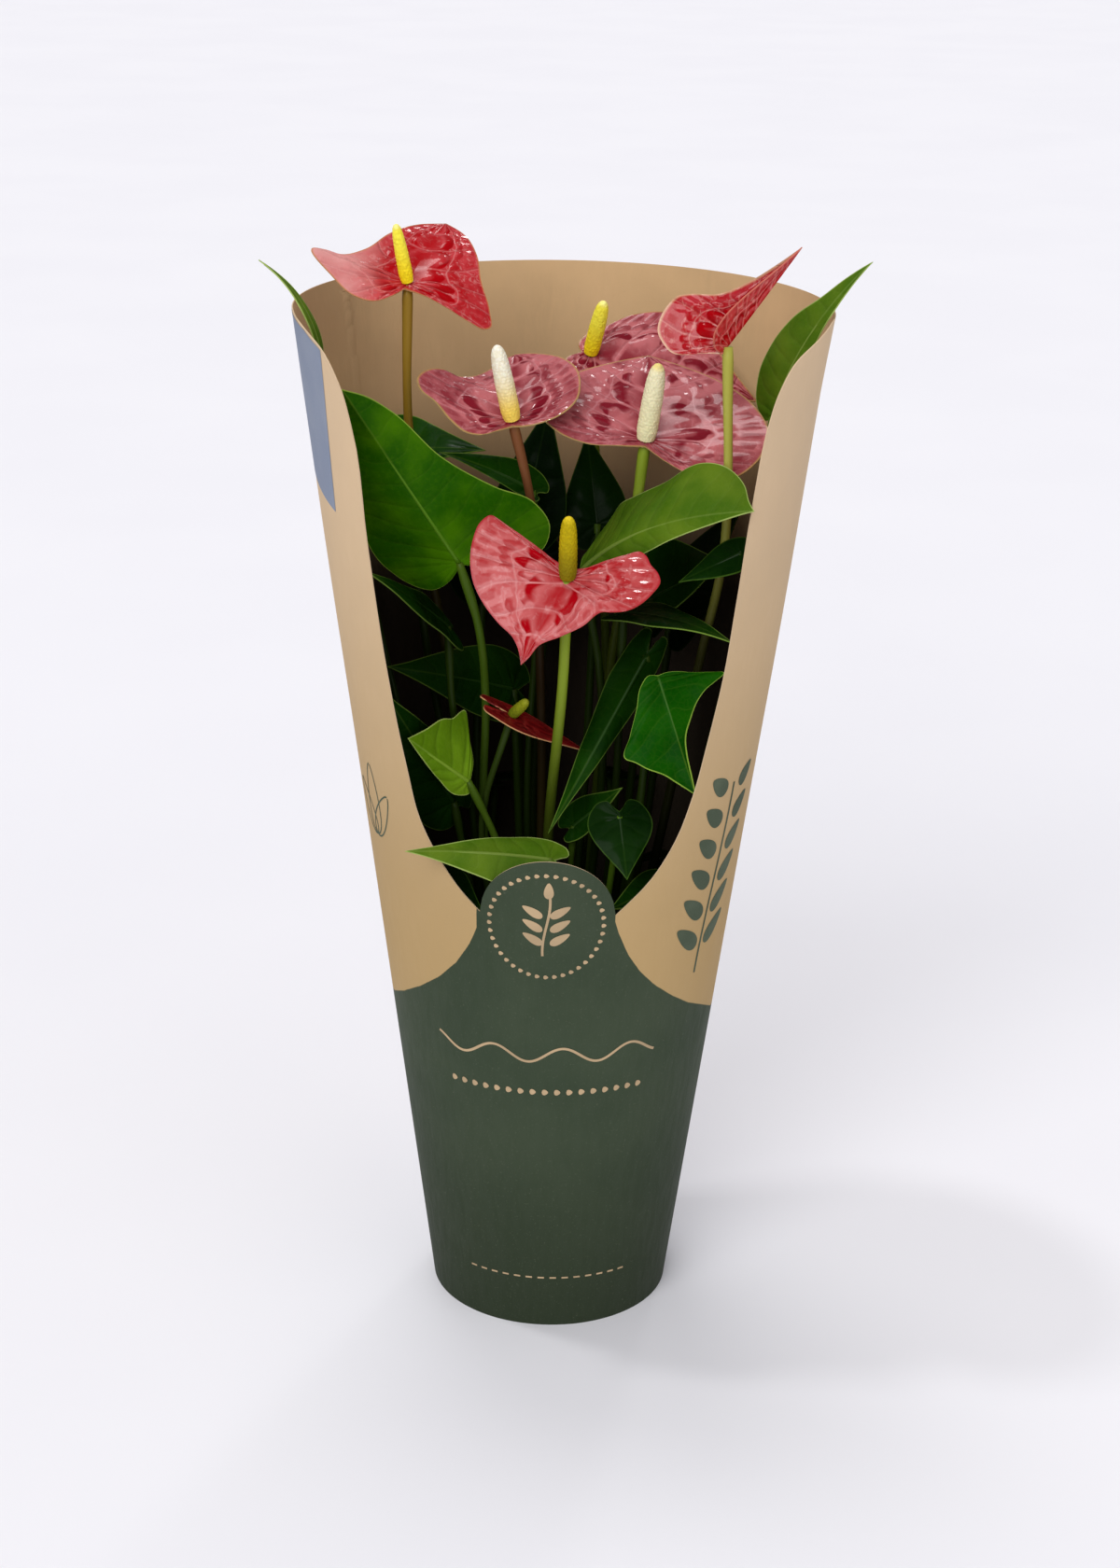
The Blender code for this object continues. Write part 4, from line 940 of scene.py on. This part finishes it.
def kraft_look(name, paper, painted_low_shade=None, printed=False):
    """Kraft paper with fibres and flecks. Where it is printed, a dark green covers the lower part.

    Painted light and shade: the inner face is painted dark low down, the printed face darker low down and
    lighter high up, and its ink darker towards the foot.
    """
    dark = scaled(paper, 0.90)
    look = Look(name, dark, Specular_IOR_Level=0.25)
    fibres = look.noise(3.0, 5, 0.65, stretch=(1, 1, 0.18), twist=0.6)
    cloud = look.noise(45, 3)
    flecks = look.noise(0.9, 2, 0.7)
    rough = look.ease(fibres, 0.3, 0.7, 0.78, 0.92)
    look.paint(scaled(paper, 1.06), cloud, 0.3, 0.7)
    look.paint(paper, fibres, 0.35, 0.7, 0.0, 0.7)
    look.paint(dark, flecks, 0.62, 0.72, 0, 0.4)
    # Painted shade: the inner face grows dark low down, inside the sleeve
    if painted_low_shade:
        look.paint(painted_low_shade, look.axis(2), 0.29, 0.375, 0.97, 0.0)
    if printed:
        # Painted shade and light: the paper is painted darker low down and lighter high up
        low = look.mix(0.8, look.colour, (0.41, 0.275, 0.115))
        high = look.mix(0.45, look.colour, (0.76, 0.59, 0.42))
        look.colour = look.mix(look.ease(look.axis(2), 0.16, 0.40), low, high)
        above, _ = look.notes("edges")
        ragged = look.plus(above, look.times(look.minus(flecks, 0.5), 0.5))
        cover = look.ease(ragged, -0.25, 0.25, 1, 0)
        ink = look.mix(look.ease(cloud, 0.3, 0.7), (0.031, 0.048, 0.025), (0.041, 0.059, 0.032))
        # Painted shade: the ink is painted darker towards the foot
        ink = look.mix(look.ease(look.axis(2), 0.0, 0.13, 0.9, 0), ink, (0.018, 0.028, 0.012))
        ink = look.mix(look.ease(flecks, 0.6, 0.75, 0, 0.35), ink, (0.10, 0.115, 0.075))
        look.lay(ink, cover)
        rough = look.times(rough, look.ease(cover, 0, 1, 1.0, 0.86))
    return look.done(rough, look.plus(fibres, look.times(flecks, 0.5)), 0.14, 0.6)


def ink_look(name, colour, worn):
    look = Look(name, colour, Specular_IOR_Level=0.25)
    flecks = look.noise(0.9, 3, 0.7)
    look.paint(worn, look.noise(20, 2), 0.35, 0.65)
    look.paint(worn, flecks, 0.58, 0.7, 0, 0.35)
    return look.done(look.ease(flecks, 0.3, 0.7, 0.72, 0.88), flecks, 0.08, 0.5)


def plastic_look():
    look = Look("pot_plastic", (0.012, 0.012, 0.013), Specular_IOR_Level=0.5)
    dust = look.noise(18, 4)
    look.paint((0.035, 0.03, 0.026), dust, 0.5, 0.75, 0, 0.6)
    return look.done(look.ease(dust, 0.35, 0.7, 0.34, 0.6), look.noise(0.8, 3), 0.06, 0.5)


def peat_look():
    look = Look("peat", (0.035, 0.020, 0.012), Specular_IOR_Level=0.2)
    lumps = look.cells(3.4)
    grit = look.noise(1.1, 5, 0.7)
    # Painted shade in the gaps between the lumps
    look.paint((0.012, 0.007, 0.005), lumps, 0.1, 0.7)
    look.paint((0.11, 0.066, 0.036), grit, 0.6, 0.72, 0, 0.6)
    look.paint((0.06, 0.036, 0.02), look.noise(6, 3), 0.6, 0.7, 0, 0.5)
    return look.done(look.ease(grit, 0.3, 0.7, 0.86, 0.98), look.minus(grit, lumps), 1.6, 0.9)


# The paper sleeve


def cone_radius(z):
    return SLEEVE_FOOT_RADIUS + SLOPE * z


def on_cone(angle, z, lift):
    """The point above the sleeve's outer face at the angle in degrees from the front."""
    radius = cone_radius(z) + lift
    turn = np.radians(angle)
    return np.stack([radius * np.sin(turn), -radius * np.cos(turn), z + 0 * radius], axis=-1)


def wave(angles, levels):
    """How far the paper stands out from a true cone, by the crease and where it sags."""
    angles = np.asarray(angles, float) % 360
    away = np.abs(angles - CREASE_ANGLE) * radians(1) * cone_radius(levels)
    fold = -CREASE_DEPTH * np.clip(1 - away / CREASE_WIDTH, 0, 1) * ramp(levels, *CREASE_RISE)
    sag = sum(depth * np.sin(radians(1) * angles * times + levels / rise) for depth, times, rise in SAGS)
    return fold + sag * (ramp(levels, *SAG_RISE) * ramp(levels, *SAG_END))


def sleeve_sheet(materials):
    """The wide wall beside the window, the closed foot in two parts, and the rounded tab on it."""
    left_angles, left_heights = smooth_line(WINDOW_LEFT, 5).T
    right_angles, right_heights = smooth_line(WINDOW_RIGHT, 5).T
    print_angles, print_heights = zip(*PRINT_EDGE)
    skin = Skin()

    def add(angles, levels):
        ends = np.interp(((angles + 180) % 360) - 180, print_angles, print_heights)
        notes = np.zeros((*angles.shape, 5))
        notes[..., 2] = levels - ends
        skin.grid(on_cone(angles, levels, wave(angles, levels)), 0, notes)

    def grid_of(starts, ends, levels, columns):
        share = np.linspace(0, 1, columns + 1)[None, :]
        angles = starts[:, None] + (ends - starts)[:, None] * share
        return angles, levels[:, None] + 0 * share

    levels = np.concatenate([np.linspace(NOTCH_Z, SWEEP_Z, LEVELS), left_heights[left_heights > NOTCH_Z],
                             np.linspace(SWEEP_Z, SLEEVE_HEIGHT, LEVELS)])
    levels = np.unique(levels)
    levels = levels[np.concatenate([[True], np.diff(levels) > LEAST_STEP])]
    starts = np.interp(levels, right_heights, right_angles)
    ends = 360 + np.interp(levels, left_heights, left_angles)
    angles, heights = grid_of(starts, ends, levels, WALL_COLUMNS)
    nearest = np.argmin(np.abs(angles - CREASE_ANGLE), axis=1)
    angles[np.arange(len(levels)), nearest] = CREASE_ANGLE
    add(angles, heights)

    low = np.linspace(0, NOTCH_Z, FOOT_LEVELS)
    start, end = starts[0], ends[0]
    add(*grid_of(start + 0 * low, end + 0 * low, low, WALL_COLUMNS))
    add(*grid_of(end + 0 * low, 360 + start + 0 * low, low, TAB_COLUMNS))

    front = end + (360 + start - end) * np.linspace(0, 1, TAB_COLUMNS + 1)[None, :]
    middle = (end - 360 + start) / 2
    arc = np.radians(front - 360 - middle) * cone_radius(NOTCH_Z)
    tops = TAB_CENTRE_Z + np.sqrt(np.maximum(TAB_RADIUS**2 - arc**2, (NOTCH_Z - TAB_CENTRE_Z) ** 2))
    rise = np.linspace(0, 1, TAB_ROWS)[:, None]
    add(front + 0 * rise, NOTCH_Z + (tops - NOTCH_Z) * rise)
    return thickened(skin.made("sleeve", materials), PAPER, -1)


class Print:
    """Flat shapes that lie on the sleeve's outer face, drawn in millimetres from a spot on it."""

    def __init__(self, skin, slot, angle, z):
        self.skin = skin
        self.slot = slot
        self.angle = angle
        self.z = z

    def onto(self, spots):
        angles = self.angle + np.degrees(spots[..., 0] / cone_radius(self.z))
        levels = self.z + spots[..., 1]
        return on_cone(angles, levels, INK_LIFT + wave(angles, levels))

    def line(self, spots, width):
        spots = np.array(spots, float)
        way = units(np.gradient(spots, axis=0))
        aside = np.stack([way[:, 1], -way[:, 0]], axis=1) * width / 2
        self.skin.grid(self.onto(np.stack([spots - aside, spots + aside], axis=0)), self.slot)

    def leaflet(self, *shape):
        """The shape that leaflet_line draws, filled in."""
        spots = leaflet_line(*shape)
        middle = spots.mean(axis=0)
        share = np.linspace(0, 1, 4)[:, None, None]
        self.skin.grid(self.onto(middle + (spots[None] - middle) * share), self.slot, closed=True)


def leaflet_line(x, y, long, wide, lean, count=28):
    """Round at its foot and more pointed at its tip, and leaning by an angle in degrees."""
    turn = turns(count)
    along = long / 2 * np.cos(turn)
    across = wide / 2 * np.sin(turn) * (1 - 0.35 * np.cos(turn))
    return spun(np.stack([along, across], axis=1), lean) + (x, y)


def spun(spots, degrees):
    angle = radians(degrees)
    x, y = spots.T
    return np.stack([x * cos(angle) - y * sin(angle), x * sin(angle) + y * cos(angle)], axis=1)


def prints(materials):
    """Plain motifs in the paper's colour on the dark print, and in dark green and blue-grey on the paper."""
    skin = Skin()
    kraft_ink, green_ink, label = 0, 1, 2

    ring_radius = 22.6
    badge = Print(skin, kraft_ink, FRONT, 192.8)
    for turn in turns(40):
        badge.leaflet(ring_radius * cos(turn), ring_radius * sin(turn), 2.0, 1.7, 0, 12)
    sprig = np.linspace(-13, 13, 24)
    badge.line(np.stack([1.5 * np.sin(sprig / 7), sprig], axis=1), 1.0)
    for y in (-8, -2, 4):
        for side in (-1, 1):
            badge.leaflet(side * 5.4, y + 2.6, 9, 3.4, 90 - side * 58)
    badge.leaflet(0.9, 16, 7, 3.6, 90)

    band = Print(skin, kraft_ink, FRONT, 126)
    along = np.linspace(-46, 46, 120)
    band.line(np.stack([along, 3.2 * np.sin(along / 4.4) + 8], axis=1), 1.1)
    for x in range(-40, 45, 5):
        band.leaflet(x, -9.5, 2.6, 2.6, 0, 12)

    foot = Print(skin, kraft_ink, FRONT, 24.5)
    for step in range(14):
        x = -32.5 + 5 * step
        foot.line([(x, 0), (x + 2.7, 0)], 0.8)

    right = Print(skin, green_ink, 56, 198)
    stem = np.linspace(-38, 44, 40)
    right.line(np.stack([4 * np.sin(stem / 30), stem], axis=1), 1.2)
    for step, y in enumerate(range(-26, 40, 13)):
        for side in (-1, 1):
            right.leaflet(side * 9.5 + 4 * sin(y / 30), y + 6, 17 - step, 7, 90 - side * 52)

    left = Print(skin, green_ink, -66, 214)
    for side, size in ((-1, 24), (0, 30), (1, 24)):
        left.line(spun(leaflet_line(0, size / 2, size, size * 0.36, 90, 40), -side * 34), 0.7)

    across = np.linspace(0, 1, 40)[None, :]
    rise = np.linspace(0, 1, 12)[:, None]
    start, end = LABEL_ANGLES
    angles = start + (end - start) * across + 0 * rise
    low = LABEL_FOOT + LABEL_RISE * (LABEL_FOOT_ANGLE - angles)
    high = np.minimum(np.interp(angles, *zip(*sorted(WINDOW_LEFT))) - LABEL_MARGIN, LABEL_TOP)
    levels = low + (high - low) * rise
    angles = angles - LABEL_LEAN * (1 - rise) * across
    skin.grid(on_cone(angles, levels, INK_LIFT + wave(angles, levels)), label)
    return skin.made("sleeve_print", materials)


# The leaves, the blooms and the peat


def stalk_line(name, end):
    """The stalk as equal steps, nearly upright out of the soil, with its lower and its upper radius."""
    (x, y), way, low, high = STALKS[name]
    lean = 0.02
    out_of_soil = (x + (way[0][0] - x) * lean, y + (way[0][1] - y) * lean, UPRIGHT_TO)
    line = smooth_line([(x, y, STEM_BOTTOM), (x, y, SOIL_LEVEL), out_of_soil, *way, end], 10)
    return evenly(line, STALK_STEPS), low, high


def sheet_of(blade, name, grid, veins, relief, materials, thickness):
    skin = Skin()
    for side, points, notes in blade.fine(*grid, veins, relief):
        skin.grid(points, 0, notes, flip=side < 0)
    return thickened(skin.made(name, materials), thickness, 0)


def leaf(name, order, sheet_looks, stalk_looks):
    blade = Blade(**LEAVES[name])
    phase = order * 1.7

    def relief(number, _, share, across):
        """The blade is quilted between its veins, billows as a whole and ripples at the margin."""
        quilt = QUILT * np.sin(pi * number) ** 2 * np.sin(pi * share)
        ripple = RIPPLE * share**3 * np.sin(2 * pi * number / 4.1 + phase)
        billow = BILLOW * np.sin(pi * share) * np.sin(2 * pi * number / 7 + phase)
        return (quilt + (ripple + billow)) * ramp(across, 0, 15)

    veins = max(FEWEST_VEINS, round(blade.length / VEIN_SPACING))
    grid = LONG_GRID if blade.length > LONG_LEAF else SHORT_GRID
    lamina = sheet_of(blade, name, grid, veins, relief, sheet_looks, LEAF_BLADE)
    line, low, high = stalk_line(name, blade.base)
    skin = Skin()
    skin.tube(line, [(0, low), (0.9, high), *[(share, high * size) for share, size in KNEE]], 12, 0)
    rib = blade.place(np.stack([np.linspace(-0.5, 0.94 * blade.length, 26), np.full(26, 1e-4)], axis=1))
    facing = units(np.cross(np.gradient(rib, axis=0), blade.across))
    facing *= np.sign(facing @ blade.up)[:, None]
    skin.tube(rib - 0.35 * facing, [(0, 0.95), (0.6, 0.6), (1, 0.15)], 8, 2)
    return joined([lamina, skin.made(name + "_stalk", stalk_looks)])


def bloom(name, spathe_looks, stem, spadix):
    """The spathe, the stem and the spadix of a bloom, as three pieces."""
    blade = Blade(**SPATHES[name])
    veins, depth = SMALL_PUCKERS.get(name, PUCKERS)

    def relief(number, wavy, _, across):
        """Two rows of puckers bulge between the veins, with a finer ripple at the margin."""
        swell = np.sin(pi * number) ** 2
        finer = np.sin(2 * pi * number) ** 2
        row_end = 0.52 - 0.14 * (1 - swell) ** 2
        inner = np.sin(pi * ramp(wavy, 0, row_end) ** 2.2)
        second_end = 0.72 - 0.05 * (1 - finer) ** 2
        second = np.sin(pi * ramp(wavy, 0.5, second_end) ** 1.6)
        outer = np.sin(pi * ramp(wavy, 0.72, 0.98))
        wander = 0.8 + 0.3 * np.sin(1.7 * number + 3 * wavy)
        puckers = inner * (0.35 + 0.65 * swell) * wander + 0.45 * second * (0.4 + 0.6 * finer)
        return depth * ramp(across, 0, 22) * (puckers + 0.22 * outer * finer)

    sheet = sheet_of(blade, name + "_spathe", SPATHE_GRID, veins, relief, spathe_looks, SPATHE_BLADE)
    from_last = blade.base - np.array(STALKS[name][1][-1], float)
    line, low, high = stalk_line(name, blade.base - 0.4 * unit(from_last))
    skin = Skin()
    skin.tube(line, [(0, low), (0.9, high), *[(share, high * size) for share, size in NECK]], 16, 0)
    stalk = skin.made(name + "_stem", [stem])
    tip, radius = SPADICES[name]
    way = unit(np.array(tip) - blade.base)
    rows, sides = SPADIX_GRID
    line = evenly(np.array([blade.base + 0.5 * way, np.array(tip, float)]), rows)
    radii = [(share, size * radius) for share, size in SPADIX_SHAPES.get(name, SPADIX_SHAPE)]
    skin = Skin()
    skin.tube(line, radii, sides, 0, GRAIN_HEIGHT, GRAIN_PITCH)
    return sheet, stalk, skin.made(name + "_spadix", [spadix])


def crumbs(material):
    """Loose lumps of peat over the soil between the stalks."""
    chance = np.random.default_rng(7)
    taken = [(x, y, low + 1.6) for (x, y), _, low, _ in STALKS.values()]
    turn = turns(7)[None, :]
    tilt = np.linspace(0.15, pi - 0.15, 5)[:, None]
    ball = np.stack([np.sin(tilt) * np.cos(turn), np.sin(tilt) * np.sin(turn), 0.7 * np.cos(tilt) + 0 * turn],
                    axis=2)
    skin = Skin()
    made = 0
    while made < CRUMBS:
        spot = chance.uniform(-CRUMB_REACH, CRUMB_REACH, 2)
        reach = np.hypot(*spot)
        size = chance.uniform(*CRUMB_SIZES)
        in_stalk = any(np.hypot(spot[0] - x, spot[1] - y) < clear + size for x, y, clear in taken)
        if reach > CRUMB_REACH - size or in_stalk:
            continue
        made += 1
        rough = size * chance.uniform(0.7, 1.25, (5, 7))
        level = CRUMB_LEVEL - CRUMB_SLOPE * reach
        skin.grid(ball * rough[..., None] + np.array([*spot, level + 0.3 * size]), 0, closed=True)
    return skin.made("peat_crumbs", [material])


# The scene


def camera():
    fixed = bpy.data.cameras.new("camera")
    fixed.sensor_width = 36
    fixed.lens = FOCAL_PIXELS / PHOTO_HEIGHT * fixed.sensor_width
    fixed.clip_start = 0.05
    fixed.clip_end = 100
    thing = new_object("camera", fixed)
    yaw = Matrix.Rotation(AIM_PIXELS / FOCAL_PIXELS, 3, "Z")
    ahead = yaw @ Vector((0, cos(CAMERA_PITCH), -sin(CAMERA_PITCH)))
    right = yaw @ Vector((1, 0, 0))
    up = yaw @ Vector((0, sin(CAMERA_PITCH), cos(CAMERA_PITCH)))
    rolled = right * cos(CAMERA_ROLL) + up * sin(CAMERA_ROLL)
    raised = up * cos(CAMERA_ROLL) - right * sin(CAMERA_ROLL)
    turned = Matrix((rolled, raised, -ahead)).transposed()
    thing.matrix_world = Matrix.Translation(CAMERA_PLACE) @ turned.to_4x4()
    bpy.context.scene.camera = thing


def studio():
    """The pale surroundings, the lights and the floor."""
    world = bpy.data.worlds.new("studio")
    world.use_nodes = True
    sky = world.node_tree.nodes["Background"]
    sky.inputs[0].default_value = WORLD_COLOUR
    sky.inputs[1].default_value = WORLD_STRENGTH
    bpy.context.scene.world = world
    bpy.context.scene.view_settings.view_transform = "Standard"
    for name, place, spread, strength in SUNS:
        lamp = bpy.data.lights.new(name, "SUN")
        lamp.angle = radians(spread)
        lamp.energy = strength
        thing = new_object(name, lamp)
        thing.rotation_euler = (-Vector(place)).to_track_quat("-Z", "Y").to_euler()
    look = Look("floor", (0.835, 0.83, 0.868), Roughness=0.9, Specular_IOR_Level=0.1)
    look.paint((0.85, 0.845, 0.88), look.noise(300, 2), 0.3, 0.7)
    look.set("Base Color", look.colour)
    mesh = bpy.data.meshes.new("floor")
    corners = [(x * FLOOR_REACH, y * FLOOR_REACH, 0) for x, y in ((-1, -1), (1, -1), (1, 1), (-1, 1))]
    mesh.from_pydata(corners, [], [(0, 1, 2, 3)])
    mesh.materials.append(look.material)
    new_object("floor", mesh)


def place(piece, slot, *nodes):
    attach(piece, "root")
    if nodes:
        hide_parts(*nodes)


def repaint(frame, node, material):
    piece = frame["nodes"][node]
    piece.data.materials.clear()
    piece.data.materials.append(material)


def dress_sleeve():
    paper = [kraft_look("kraft_outside", (0.57, 0.395, 0.215), printed=True),
             kraft_look("kraft_inside", (0.62, 0.41, 0.215), painted_low_shade=(0.003, 0.002, 0.001)),
             kraft_look("kraft_edge", (0.60, 0.44, 0.28))]
    inks = [ink_look("print_kraft", (0.50, 0.36, 0.21), (0.40, 0.29, 0.17)),
            ink_look("print_green", (0.060, 0.082, 0.050), (0.085, 0.11, 0.07)),
            ink_look("label_blue_grey", (0.225, 0.262, 0.348), (0.25, 0.285, 0.365))]
    place(sleeve_sheet(paper), "kraft_paper", "sleeve")
    place(prints(inks), "kraft_paper")


def dress_leaves(stalks):
    """Each leaf with its faces and margin in its green, and its petiole, its knee and its rib."""
    sheets, ribs = [], []
    for tone, (deep, bright, line, gloss, rib_share, painted_shade) in enumerate(GREENS):
        dull = [tuple(0.9 * channel + 0.012 for channel in colour) for colour in (deep, bright, line)]
        rib = tuple(b + rib_share * (l - b) for b, l in zip(bright, line))
        # The rims take the line colour, pale partly as a painted highlight along the lit edge
        sheets.append([leaf_look(f"leaf_upper_{tone}", deep, bright, line, gloss, 0.5, painted_shade),
                       leaf_look(f"leaf_under_{tone}", *dull, 0.05, 0.8, painted_shade),
                       leaf_look(f"leaf_margin_{tone}", line, line, line, 0.05, 0.2, painted_shade)])
        ribs.append(stem_look(f"leaf_rib_{tone}", rib, rib, rib, painted_shade))
    for order, name in enumerate(LEAVES):
        tone = LEAF_GREENS.get(name, 0)
        petiole = stalks["petiole_lit" if name in LIT_PETIOLES else "petiole"]
        place(leaf(name, order, sheets[tone], [petiole, stalks["leaf_knee"], ribs[tone]]), "leaf_green", name)


def dress_blooms(stalks):
    faces = {name: spathe_look(name, **values) for name, values in SPATHE_LOOKS.items()}
    spadices = {name: spadix_look(name, *colours) for name, colours in SPADIX_LOOKS.items()}
    for name, (upper, under, margin, stem, spadix) in BLOOM_LOOKS.items():
        looks = [faces[upper], faces[under], faces[margin]]
        pieces = bloom(name, looks, stalks[stem], spadices[spadix])
        place(pieces[0], SPATHE_SLOTS.get(name, "rose"), name + "_spathe")
        place(pieces[1], "stalk_green", name + "_stem")
        place(pieces[2], "cream" if name in CREAM_SPADICES else "yellow", name + "_spadix")


def main():
    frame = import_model()
    studio()
    camera()
    dress_sleeve()
    peat = peat_look()
    place(crumbs(peat), "peat")
    repaint(frame, "pot", plastic_look())
    repaint(frame, "soil", peat)
    stalks = {name: stem_look(name, *colours) for name, colours in STEM_LOOKS.items()}
    dress_leaves(stalks)
    dress_blooms(stalks)


main()
